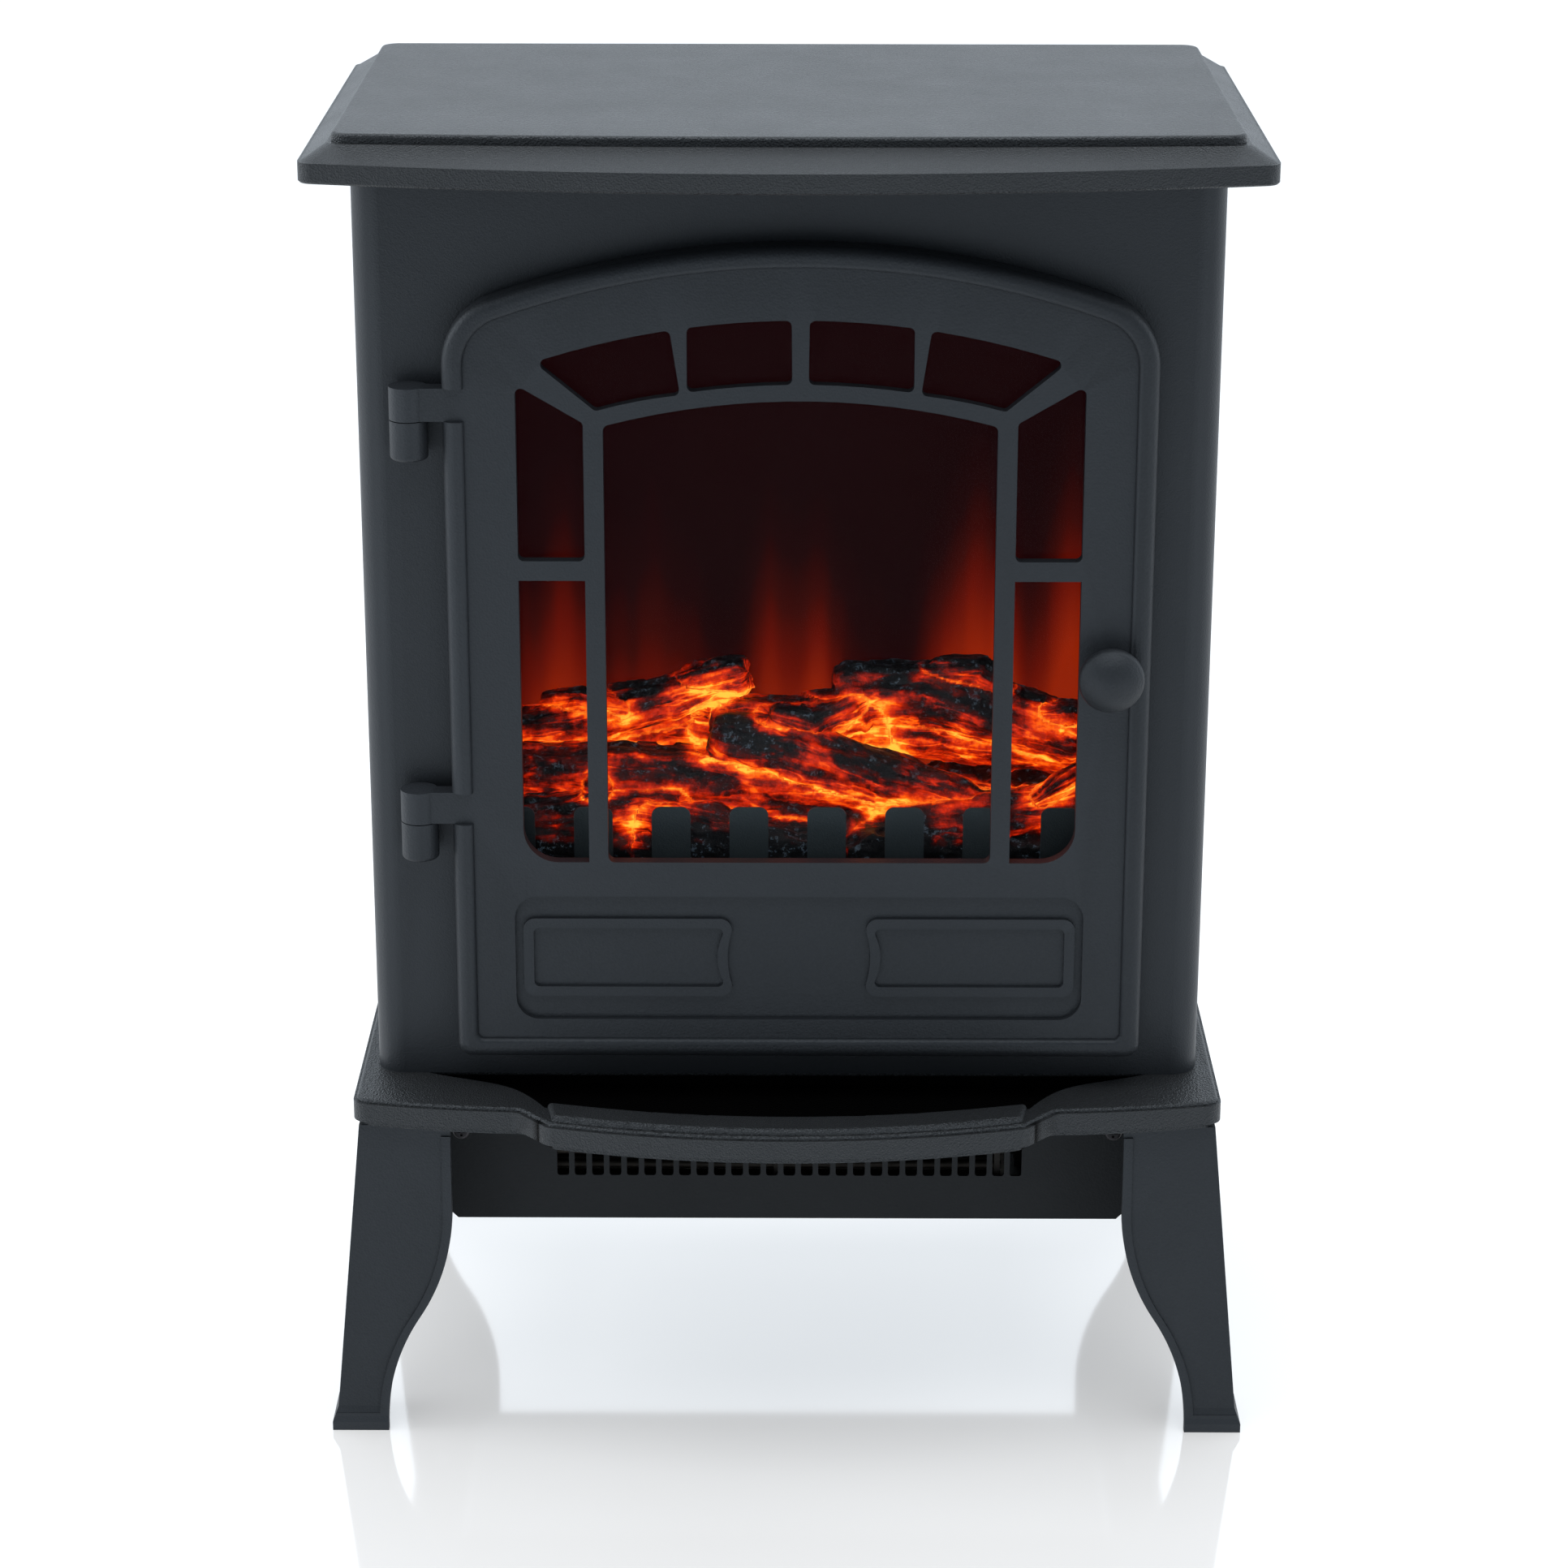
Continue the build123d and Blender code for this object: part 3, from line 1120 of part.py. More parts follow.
with BuildPart() as light_box:
    add(open_box(SCREEN_REAR, LIGHT_BOX_REAR, SHEET).part)
    with BuildSketch(side_plane(-LINER_HALF)):
        with Locations((SPINDLE_Y, SPINDLE_Z)):
            Circle(7)
    extrude(amount=2 * LINER_HALF, mode=Mode.SUBTRACT)
save(light_box, "light_box")

with BuildPart() as flame_screen:
    with BuildSketch(front_plane(SCREEN_REAR)):
        with Locations((0, (LINER_BOTTOM + LINER_TOP) / 2)):
            Rectangle(2 * LINER_HALF, LINER_TOP - LINER_BOTTOM)
    extrude(amount=SCREEN_THICKNESS)
save(flame_screen, "flame_screen")

with BuildPart() as spindle_rod:
    with BuildSketch(side_plane(-LINER_HALF - 2)):
        with Locations((SPINDLE_Y, SPINDLE_Z)):
            Circle(SHAFT_RADIUS)
    extrude(amount=2 * LINER_HALF + 10)
save(spindle_rod, "spindle_rod")

VANE_STATIONS = 14
VANE_PITCH = 20
VANE_WIDTH = 12
VANE_TWIST = 37
with BuildPart() as flame_vanes:
    for station in range(VANE_STATIONS):
        x = (station - (VANE_STATIONS - 1) / 2) * VANE_PITCH
        with BuildSketch(side_plane(x - VANE_WIDTH / 2)):
            with Locations(Location((SPINDLE_Y, SPINDLE_Z, 0), (0, 0, VANE_TWIST * station))):
                with PolarLocations(9, 4):
                    Rectangle(13, 0.8)
                Circle(SHAFT_RADIUS + 1)
                Circle(SHAFT_RADIUS, mode=Mode.SUBTRACT)
        extrude(amount=VANE_WIDTH)
save(flame_vanes, "flame_vanes")

with BuildPart() as spindle_bush:
    with BuildSketch(side_plane(-LINER_HALF - 4)):
        with Locations((SPINDLE_Y, SPINDLE_Z)):
            Circle(10)
    extrude(amount=4)
    with BuildSketch(side_plane(-LINER_HALF)):
        with Locations((SPINDLE_Y, SPINDLE_Z)):
            Circle(6.8)
    extrude(amount=SHEET)
    with BuildSketch(side_plane(-LINER_HALF - 3)):
        with Locations((SPINDLE_Y, SPINDLE_Z)):
            Circle(SHAFT_RADIUS + RUNNING_GAP)
    extrude(amount=3 + SHEET, mode=Mode.SUBTRACT)
save(spindle_bush, "spindle_bush")

with BuildPart() as flame_motor:
    with BuildSketch(side_plane(LINER_HALF)):
        with Locations((SPINDLE_Y, SPINDLE_Z)):
            Circle(20)
            SlotOverall(58, 10)
    extrude(amount=2)
    with BuildSketch(side_plane(LINER_HALF + 2)):
        with Locations((SPINDLE_Y, SPINDLE_Z)):
            Circle(18)
    extrude(amount=14)
    with BuildSketch(side_plane(LINER_HALF)):
        with Locations((SPINDLE_Y, SPINDLE_Z)):
            Circle(SHAFT_RADIUS + RUNNING_GAP)
    extrude(amount=10, mode=Mode.SUBTRACT)
save(flame_motor, "flame_motor")

LOG_TRAY_Z = 240
LOG_FRONT = -48
LOG_REAR = 16
LOG_TRAY_WIDTH = 280
LOG_MIDDLE_Y = (LOG_FRONT + LOG_REAR) / 2
LOGS = [
    ((-118, 276, -20), (110, 268, -26), 15),
    ((-128, 262, -6), (-20, 300, 4), 14),
    ((126, 262, -4), (16, 304, 2), 14),
    ((-70, 268, -34), (30, 262, -32), 12),
    ((40, 262, -34), (122, 272, -28), 12),
    ((-40, 306, -6), (60, 300, -2), 12),
    ((-92, 292, -12), (-30, 318, -4), 9),
    ((96, 292, -10), (24, 320, -4), 9),
]
with BuildPart() as log_bed:
    with BuildSketch(Plane.XY.offset(LOG_TRAY_Z)):
        with Locations((0, LOG_MIDDLE_Y)):
            RectangleRounded(LOG_TRAY_WIDTH, LOG_REAR - LOG_FRONT, 6)
            Rectangle(200, 40, mode=Mode.SUBTRACT)
    extrude(amount=16)
    with BuildSketch(Plane.XY.offset(LOG_TRAY_Z + 14)):
        with Locations((0, LOG_MIDDLE_Y)):
            RectangleRounded(LOG_TRAY_WIDTH, LOG_REAR - LOG_FRONT, 6)
    extrude(amount=4)
    for (x1, z1, y1), (x2, z2, y2), radius in LOGS:
        start = Vector(x1, y1, z1)
        run = Vector(x2, y2, z2) - start
        with BuildSketch(Plane(origin=start, z_dir=run)):
            Circle(radius)
        extrude(amount=run.length)
save(log_bed, "log_bed")

with BuildPart() as log_rests:
    with BuildSketch(Plane.XY.offset(LINER_BOTTOM + SHEET)):
        with Locations((0, LOG_MIDDLE_Y)):
            with GridLocations(250, LOG_REAR - LOG_FRONT - 8, 2, 2):
                Circle(4)
    extrude(amount=LOG_TRAY_Z - LINER_BOTTOM - SHEET)
save(log_rests, "log_rests")

with BuildPart() as ember_fret:
    with BuildSketch(front_plane(FRET_Y)):
        with Locations((0, LINER_BOTTOM + SHEET)):
            Rectangle(2 * (LINER_HALF - SHEET) - 1, 24, align=(Align.CENTER, Align.MIN))
        with Locations((0, FRET_TOP)):
            with GridLocations(TAB_PITCH, 0, TAB_COUNT, 1):
                Rectangle(TAB_WIDTH, FRET_TOP - LINER_BOTTOM - 20, align=(Align.CENTER, Align.MAX))
    extrude(amount=1)
    fillet(ember_fret.edges().filter_by(Axis.Y).group_by(Axis.Z)[-1], 4)
    with BuildSketch(Plane.XY.offset(LINER_BOTTOM + SHEET)):
        with Locations((0, FRET_Y)):
            Rectangle(2 * (LINER_HALF - SHEET) - 1, 5, align=(Align.CENTER, Align.MIN))
    extrude(amount=1)
save(ember_fret, "ember_fret")

LED_PITCH = 26
LED_ROWS = {-16: 24, 36: 10}
STANDOFF = 3
BOARD_THICKNESS = 1.6
with BuildPart() as led_boards:
    for y, width in LED_ROWS.items():
        with BuildSketch(Plane.XY.offset(LINER_BOTTOM + SHEET + STANDOFF)):
            with Locations((0, y)):
                Rectangle(9 * LED_PITCH, width)
        extrude(amount=BOARD_THICKNESS)
        with BuildSketch(Plane.XY.offset(LINER_BOTTOM + SHEET)):
            with Locations((0, y)):
                with GridLocations(220, 0, 2, 1):
                    Circle(3)
        extrude(amount=STANDOFF)
save(led_boards, "led_boards")

with BuildPart() as led_lamps:
    for y in LED_ROWS:
        with BuildSketch(Plane.XY.offset(LINER_BOTTOM + SHEET + STANDOFF + BOARD_THICKNESS)):
            with Locations((0, y)):
                with GridLocations(LED_PITCH, 0, 8, 1):
                    Circle(2.5)
        extrude(amount=5)
    fillet(led_lamps.faces().sort_by(Axis.Z)[-16:].edges(), 2)
save(led_lamps, "led_lamps")


# ---------------------------------------------------------------- supply inside the lower bay
TERMINAL_SPOT = (108, 88)
TERMINAL_HEIGHT = 16
DRIVER_SPOT = (-110, 70)
with BuildPart() as terminal_block:
    with BuildSketch(Plane.XY.offset(BASE_FLOOR)):
        with Locations(TERMINAL_SPOT):
            RectangleRounded(46, 20, 2)
    extrude(amount=TERMINAL_HEIGHT)
    with BuildSketch(Plane.XY.offset(BASE_FLOOR + TERMINAL_HEIGHT)):
        with Locations(TERMINAL_SPOT):
            with GridLocations(14, 0, 3, 1):
                Circle(2.4)
    extrude(amount=-6, mode=Mode.SUBTRACT)
save(terminal_block, "terminal_block")

with BuildPart() as lamp_driver:
    with BuildSketch(Plane.XY.offset(BASE_FLOOR)):
        with Locations(DRIVER_SPOT):
            RectangleRounded(70, 36, 3)
    extrude(amount=24)
    fillet(lamp_driver.faces().sort_by(Axis.Z)[-1].edges(), 2)
save(lamp_driver, "lamp_driver")

gland_plane = Plane(origin=(GLAND_X, REAR_FACE, GLAND_Z), x_dir=(-1, 0, 0), z_dir=(0, 1, 0))
with BuildPart() as cord_gland:
    with BuildSketch(gland_plane.offset(-SHEET)):
        Circle(8)
    extrude(amount=SHEET)
    with BuildSketch(gland_plane):
        Circle(11)
    extrude(amount=4)
    with BuildSketch(gland_plane.offset(4)):
        RegularPolygon(9, 6)
    extrude(amount=6)
    fillet(cord_gland.faces().sort_by(Axis.Y)[-1].edges(), 1.5)
    with BuildSketch(gland_plane.offset(-SHEET)):
        RegularPolygon(11, 6)
    extrude(amount=-4)
    with BuildSketch(gland_plane.offset(-SHEET - 4)):
        Circle(GLAND_BORE)
    extrude(amount=SHEET + 14, mode=Mode.SUBTRACT)
save(cord_gland, "cord_gland")
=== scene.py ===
import json
from math import cos, pi, radians, sin

import bmesh
import bpy
import numpy as np
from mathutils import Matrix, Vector, noise


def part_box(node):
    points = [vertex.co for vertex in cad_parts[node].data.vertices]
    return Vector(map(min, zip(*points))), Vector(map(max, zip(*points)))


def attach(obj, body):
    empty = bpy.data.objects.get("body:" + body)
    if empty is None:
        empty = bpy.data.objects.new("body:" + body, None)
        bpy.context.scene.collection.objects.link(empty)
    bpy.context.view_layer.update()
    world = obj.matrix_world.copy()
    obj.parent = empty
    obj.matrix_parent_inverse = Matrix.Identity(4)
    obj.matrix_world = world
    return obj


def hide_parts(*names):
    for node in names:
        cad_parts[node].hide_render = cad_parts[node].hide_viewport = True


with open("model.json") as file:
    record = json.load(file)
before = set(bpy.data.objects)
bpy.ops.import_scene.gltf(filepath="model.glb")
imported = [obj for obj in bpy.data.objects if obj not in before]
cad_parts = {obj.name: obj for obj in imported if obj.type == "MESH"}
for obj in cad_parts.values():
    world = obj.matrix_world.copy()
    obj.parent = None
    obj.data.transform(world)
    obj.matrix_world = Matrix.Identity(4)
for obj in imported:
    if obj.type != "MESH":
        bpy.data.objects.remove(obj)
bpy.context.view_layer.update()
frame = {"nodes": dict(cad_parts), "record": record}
nodes = frame["nodes"]
scene = bpy.context.scene
MM = 0.001


# ---------------------------------------------------------------- camera, light and floor
LENS = 94.25
SENSOR_WIDTH = 36
CAMERA_PLACE = (0.0031, -1.743, 0.877)
CAMERA_TURN = (70.684, -0.082, 0.191)
ROOM_COLOUR = (0.84, 0.92, 1, 1)
# axis, where the fade runs from and to, and the strength at each end
ROOM_FADES = (("Y", (-0.6, 0.6), (0.4, 1.45)), ("Z", (0.42, 0.68), (1.0, 0.3)))
# place, target, size and power of each light
SOFTBOXES = {
    "softbox_top": ((0, -0.3, 2.7), (0, -0.3, 0), (3.4, 3.0), 80),
    "softbox_left": ((-2.0, 0.0, 1.2), (0, 0, 0.35), (0.9, 1.8), 16),
    "softbox_right": ((2.0, 0.3, 1.2), (0, 0, 0.35), (0.7, 1.8), 5),
    "kicker_left": ((-1.0, -1.3, 0.14), (-0.2, -0.1, 0.55), (0.8, 0.4), 1.8),
    "kicker_right": ((1.05, -1.3, 0.14), (0.2, -0.1, 0.55), (0.7, 0.4), 1.1),
}
FLOOR_HALF = 8


def add_camera():
    """Long lens in front of the heater, a little above its top and looking down at it."""
    data = bpy.data.cameras.new("camera")
    data.lens = LENS
    data.sensor_width = SENSOR_WIDTH
    data.clip_end = 20
    camera = bpy.data.objects.new("camera", data)
    camera.location = CAMERA_PLACE
    camera.rotation_euler = [radians(angle) for angle in CAMERA_TURN]
    scene.collection.objects.link(camera)
    scene.camera = camera


def softbox(name, place, target, size, power):
    """Rectangular area light at place, facing target, that the camera doesn't see."""
    data = bpy.data.lights.new(name, "AREA")
    data.shape = "RECTANGLE"
    data.size, data.size_y = size
    data.energy = power
    light = bpy.data.objects.new(name, data)
    light.location = place
    light.rotation_euler = (Vector(target) - Vector(place)).to_track_quat("-Z", "Y").to_euler()
    light.visible_camera = False
    scene.collection.objects.link(light)


def add_room_light():
    """Room light that is brightest low down behind the heater."""
    world = bpy.data.worlds.new("studio")
    scene.world = world
    world.use_nodes = True
    room = Nodes(world.node_tree)
    background = room.tree.nodes["Background"]
    background.inputs["Color"].default_value = ROOM_COLOUR
    split = room.split(room.coords.outputs["Generated"])
    fades = [room.fade(split[axis], *reach, *strength) for axis, reach, strength in ROOM_FADES]
    room.link(room.math("MULTIPLY", *fades), background.inputs["Strength"])


def add_floor():
    """Wide pale floor under the feet."""
    mesh = bpy.data.meshes.new("floor")
    builder = bmesh.new()
    bmesh.ops.create_grid(builder, x_segments=1, y_segments=1, size=FLOOR_HALF)
    builder.to_mesh(mesh)
    builder.free()
    floor = bpy.data.objects.new("floor", mesh)
    scene.collection.objects.link(floor)
    floor.data.materials.append(floor_material())


# ---------------------------------------------------------------- material building blocks
class Nodes:
    """A node tree with short calls for the usual nodes; plain numbers go straight into sockets."""

    def __init__(self, tree):
        self.tree = tree
        self.coords = self.node("ShaderNodeTexCoord")

    def node(self, kind, **settings):
        node = self.tree.nodes.new(kind)
        for key, value in settings.items():
            setattr(node, key, value)
        return node

    def link(self, output, target):
        self.tree.links.new(output, target)

    def split(self, vector):
        """The vector's X, Y and Z outputs, by name."""
        node = self.node("ShaderNodeSeparateXYZ")
        self.link(vector, node.inputs["Vector"])
        return {axis: node.outputs[axis] for axis in "XYZ"}

    def fade(self, value, start, end, low=0.0, high=1.0):
        """Low where the value is at start, high where it is at end, and straight between."""
        node = self.node("ShaderNodeMapRange")
        limits = {"From Min": start, "From Max": end, "To Min": low, "To Max": high}
        for name, limit in limits.items():
            node.inputs[name].default_value = limit
        self.link(value, node.inputs["Value"])
        return node.outputs["Result"]

    def math(self, operation, first, second=0.0):
        node = self.node("ShaderNodeMath", operation=operation)
        for socket, value in zip(node.inputs, (first, second)):
            if isinstance(value, (int, float)):
                socket.default_value = value
            else:
                self.link(value, socket)
        return node.outputs["Value"]


class Shader(Nodes):
    """A node material with one Principled shader and short calls for the usual textures."""

    def __init__(self, name):
        self.material = bpy.data.materials.new(name)
        self.material.use_nodes = True
        super().__init__(self.material.node_tree)
        self.shader = self.tree.nodes["Principled BSDF"]

    def set(self, **values):
        """Constant values on the shader's own sockets, such as Roughness=0.4."""
        for key, value in values.items():
            self.shader.inputs[key.replace("_", " ")].default_value = value

    def mapped(self, vector, scale, shift=(0, 0, 0)):
        """The vector scaled along each axis, then shifted."""
        mapping = self.node("ShaderNodeMapping")
        mapping.inputs["Scale"].default_value = scale
        mapping.inputs["Location"].default_value = shift
        self.link(vector, mapping.inputs["Vector"])
        return mapping.outputs["Vector"]

    def stretched(self, scale):
        """Object coordinates scaled along each axis."""
        return self.mapped(self.coords.outputs["Object"], scale)

    def noise(self, scale, detail=3.0, roughness=0.5, vector=None):
        texture = self.node("ShaderNodeTexNoise")
        texture.inputs["Scale"].default_value = scale
        texture.inputs["Detail"].default_value = detail
        texture.inputs["Roughness"].default_value = roughness
        self.link(vector or self.coords.outputs["Object"], texture.inputs["Vector"])
        return texture.outputs["Fac"]

    def cells(self, scale):
        texture = self.node("ShaderNodeTexVoronoi", feature="F1")
        texture.inputs["Scale"].default_value = scale
        self.link(self.coords.outputs["Object"], texture.inputs["Vector"])
        return texture.outputs["Distance"]

    def ramp(self, value, stops):
        """Colour ramp from (position, colour) stops; a plain number stands for a grey."""
        ramp = self.node("ShaderNodeValToRGB")
        elements = ramp.color_ramp.elements
        while len(elements) < len(stops):
            elements.new(0.5)
        for element, (position, colour) in zip(elements, stops):
            element.position = position
            grey = isinstance(colour, (int, float))
            element.color = (colour, colour, colour, 1) if grey else (*colour, 1)
        self.link(value, ramp.inputs["Fac"])
        return ramp.outputs["Color"]

    def mix(self, factor, first, second, blend="MIX"):
        node = self.node("ShaderNodeMix", data_type="RGBA", blend_type=blend)
        inputs = [node.inputs["Factor"], node.inputs[6], node.inputs[7]]
        for socket, value in zip(inputs, (factor, first, second)):
            if isinstance(value, (int, float)):
                socket.default_value = value
            elif isinstance(value, tuple):
                socket.default_value = (*value, 1)
            else:
                self.link(value, socket)
        return node.outputs[2]

    def bump(self, height, strength, distance):
        bump = self.node("ShaderNodeBump")
        bump.inputs["Strength"].default_value = strength
        bump.inputs["Distance"].default_value = distance
        self.link(height, bump.inputs["Height"])
        self.link(bump.outputs["Normal"], self.shader.inputs["Normal"])

    def colour(self, value):
        self.link(value, self.shader.inputs["Base Color"])

    def rough(self, value):
        self.link(value, self.shader.inputs["Roughness"])


def shade(colour, factor):
    """The colour made darker or lighter."""
    return tuple(channel * factor for channel in colour)


PAINT_SPECULAR = 0.42
TONE_SPREAD = 0.12


def painted(name, colour, rough, grain, bump, rub=0.5):
    """Charcoal paint or moulding: fine grain, cloudy tone, and convex edges a little paler."""
    s = Shader(name)
    cloud = s.noise(9, 4, 0.6)
    tone = s.ramp(cloud, [(0.3, shade(colour, 1 - TONE_SPREAD)), (0.7, shade(colour, 1 + TONE_SPREAD))])
    speck = s.noise(grain * 0.9, 2, 0.7)
    specks = s.ramp(speck, [(0.35, 0.72), (0.7, 1.3)])
    mottled = s.mix(0.45, tone, specks, "MULTIPLY")
    edge = s.node("ShaderNodeNewGeometry").outputs["Pointiness"]
    paler_edges = s.ramp(edge, [(0.52, 0.0), (0.62, rub)])
    s.colour(s.mix(paler_edges, mottled, shade(colour, 1.7)))
    haze = s.noise(26, 3, 0.6)
    s.rough(s.ramp(haze, [(0.25, rough - 0.02), (0.75, rough + 0.03)]))
    fine = s.cells(grain)
    broad = s.noise(grain * 0.45, 3, 0.6)
    s.bump(s.math("ADD", fine, broad), bump, 0.0004)
    s.set(Specular_IOR_Level=PAINT_SPECULAR, Specular_Tint=(0.8, 0.9, 1, 1))
    return s


def paint(*finish, **settings):
    """The material of a painted finish."""
    return painted(*finish, **settings).material


def steel(name, colour, rough, stretch=(30, 900, 900)):
    """Plain or brushed metal with streaks along X and faint blotches."""
    s = Shader(name)
    streak = s.noise(1, 3, 0.6, s.stretched(stretch))
    blotch = s.noise(60, 3, 0.5)
    tone = s.ramp(blotch, [(0.3, shade(colour, 0.85)), (0.7, shade(colour, 1.1))])
    s.colour(s.mix(0.35, tone, s.ramp(streak, [(0.3, 0.6), (0.7, 1.0)]), "MULTIPLY"))
    s.rough(s.ramp(streak, [(0.2, rough - 0.08), (0.8, rough + 0.1)]))
    s.bump(streak, 0.12, 0.0002)
    s.set(Metallic=1.0)
    return s.material


def plastic(name, colour, rough, grain=1200, bump=0.12):
    """Technical plastic, lamination or board: slight cloudiness and a fine moulded grain."""
    s = Shader(name)
    cloud = s.noise(40, 4, 0.6)
    s.colour(s.ramp(cloud, [(0.3, shade(colour, 0.88)), (0.7, shade(colour, 1.1))]))
    s.rough(s.ramp(s.noise(90, 2), [(0.3, rough - 0.04), (0.7, rough + 0.06)]))
    s.bump(s.noise(grain, 3, 0.6), bump, 0.0003)
    return s.material


def floor_material():
    """Pale glossy studio floor, faintly lit from below, that mirrors the feet."""
    s = Shader("studio_floor")
    s.colour(s.ramp(s.noise(3, 2), [(0.3, (0.6, 0.6, 0.6)), (0.7, (0.64, 0.64, 0.64))]))
    s.rough(s.ramp(s.noise(5, 2), [(0.3, 0.06), (0.7, 0.08)]))
    s.set(IOR=2.4, Specular_IOR_Level=0.6, Emission_Color=(1, 1, 1, 1), Emission_Strength=0.34)
    return s.material


def glass(name):
    """Clear pane with a faint smoke tint: mostly see-through, a little denser at a low angle."""
    s = Shader(name)
    smear = s.noise(14, 4, 0.6)
    s.colour(s.ramp(smear, [(0.3, (0.004, 0.004, 0.004)), (0.7, (0.007, 0.007, 0.007))]))
    s.rough(s.ramp(smear, [(0.35, 0.03), (0.8, 0.06)]))
    grazing = s.node("ShaderNodeLayerWeight")
    grazing.inputs["Blend"].default_value = 0.3
    s.link(s.ramp(grazing.outputs["Facing"], [(0.2, 0.06), (0.95, 0.35)]), s.shader.inputs["Alpha"])
    s.set(Specular_IOR_Level=0.2)
    s.material.surface_render_method = "BLENDED"
    return s.material


def flame_picture(name, low, high):
    """Dark red screen with soft tongues of flame that fade out with height."""
    s = Shader(name)
    height = s.fade(s.split(s.coords.outputs["Object"])["Z"], low, high)
    tongues = s.noise(1, 1, 0.5, s.stretched((26, 26, 2.5)))
    wisps = s.noise(1, 2, 0.5, s.stretched((70, 70, 6)))
    tall = s.math("ADD", s.math("MULTIPLY", tongues, 1.1), s.math("MULTIPLY", wisps, 0.35))
    fall = s.math("SUBTRACT", tall, height)
    flame = s.ramp(fall, [
        (0.0, (0.0075, 0.0009, 0.0014)),
        (0.2, (0.012, 0.0012, 0.0016)),
        (0.38, (0.04, 0.002, 0.0012)),
        (0.55, (0.13, 0.0045, 0.001)),
        (0.75, (0.3, 0.016, 0.0015)),
    ])
    s.colour(s.mix(0.9, flame, (0.002, 0.001, 0.001)))
    s.link(flame, s.shader.inputs["Emission Color"])
    s.rough(s.ramp(wisps, [(0.3, 0.5), (0.7, 0.6)]))
    s.set(Emission_Strength=1.0, Specular_IOR_Level=0.02)
    s.bump(s.noise(1500, 2), 0.05, 0.0002)
    return s.material


def embers(name):
    """Resin logs lit from inside: hot in the hollows, charred and glossy on the crests."""
    s = Shader(name)
    heat = s.node("ShaderNodeAttribute", attribute_name="ember_heat").outputs["Fac"]
    bark = s.node("ShaderNodeAttribute", attribute_name="bark").outputs["Vector"]
    streak = s.noise(1, 4, 0.6, s.mapped(bark, (28, 150, 40)))
    patch = s.noise(75, 4, 0.6)
    flicker = s.noise(330, 4, 0.7)
    level = heat
    for texture, share in ((streak, 1.0), (patch, 0.8), (flicker, 0.3)):
        level = s.math("ADD", level, s.math("MULTIPLY", s.math("SUBTRACT", texture, 0.5), share))
    cracks = s.noise(1, 3, 0.55, s.mapped(bark, (22, 110, 50), (3.1, 1.7, 0.6)))
    vein = s.ramp(s.math("ABSOLUTE", s.math("SUBTRACT", cracks, 0.5)), [(0.004, 1.0), (0.035, 0.0)])
    level = s.math("ADD", level, s.math("MULTIPLY", s.math("MULTIPLY", vein, heat), 0.22))
    glow = s.ramp(level, [
        (0.4, (0.0, 0.0, 0.0)),
        (0.52, (0.03, 0.0005, 0.0)),
        (0.62, (0.2, 0.004, 0.0)),
        (0.73, (0.55, 0.018, 0.0005)),
        (0.87, (1.0, 0.13, 0.003)),
        (1.0, (1.0, 0.5, 0.045)),
    ])
    # Pale grey flecks on the cooler parts: partly the logs' real grey colour, partly a painted glint.
    crackle = s.ramp(s.noise(260, 5, 0.8), [(0.58, 0.0), (0.61, 1.0), (0.66, 0.0)])
    char = s.ramp(level, [(0.35, (0.007, 0.009, 0.012)), (0.65, (0.03, 0.004, 0.002))])
    cool = s.ramp(level, [(0.4, 1.0), (0.54, 0.0)])
    ash_and_glint = s.math("MULTIPLY", crackle, cool)
    ash_and_glint_fleck = s.math("MULTIPLY", ash_and_glint, 0.6)
    # Painted glint: the pale flecks also glow a faint blue, standing for the studio lights caught on them.
    s.link(s.mix(ash_and_glint_fleck, glow, (0.03, 0.045, 0.06)), s.shader.inputs["Emission Color"])
    s.colour(s.mix(ash_and_glint_fleck, char, (0.2, 0.27, 0.35)))
    s.rough(s.ramp(ash_and_glint, [(0.0, 0.5), (1.0, 0.2)]))
    s.bump(s.math("ADD", streak, s.math("ADD", patch, flicker)), 0.8, 0.0016)
    s.set(Emission_Strength=1.35, Specular_IOR_Level=0.35)
    return s.material


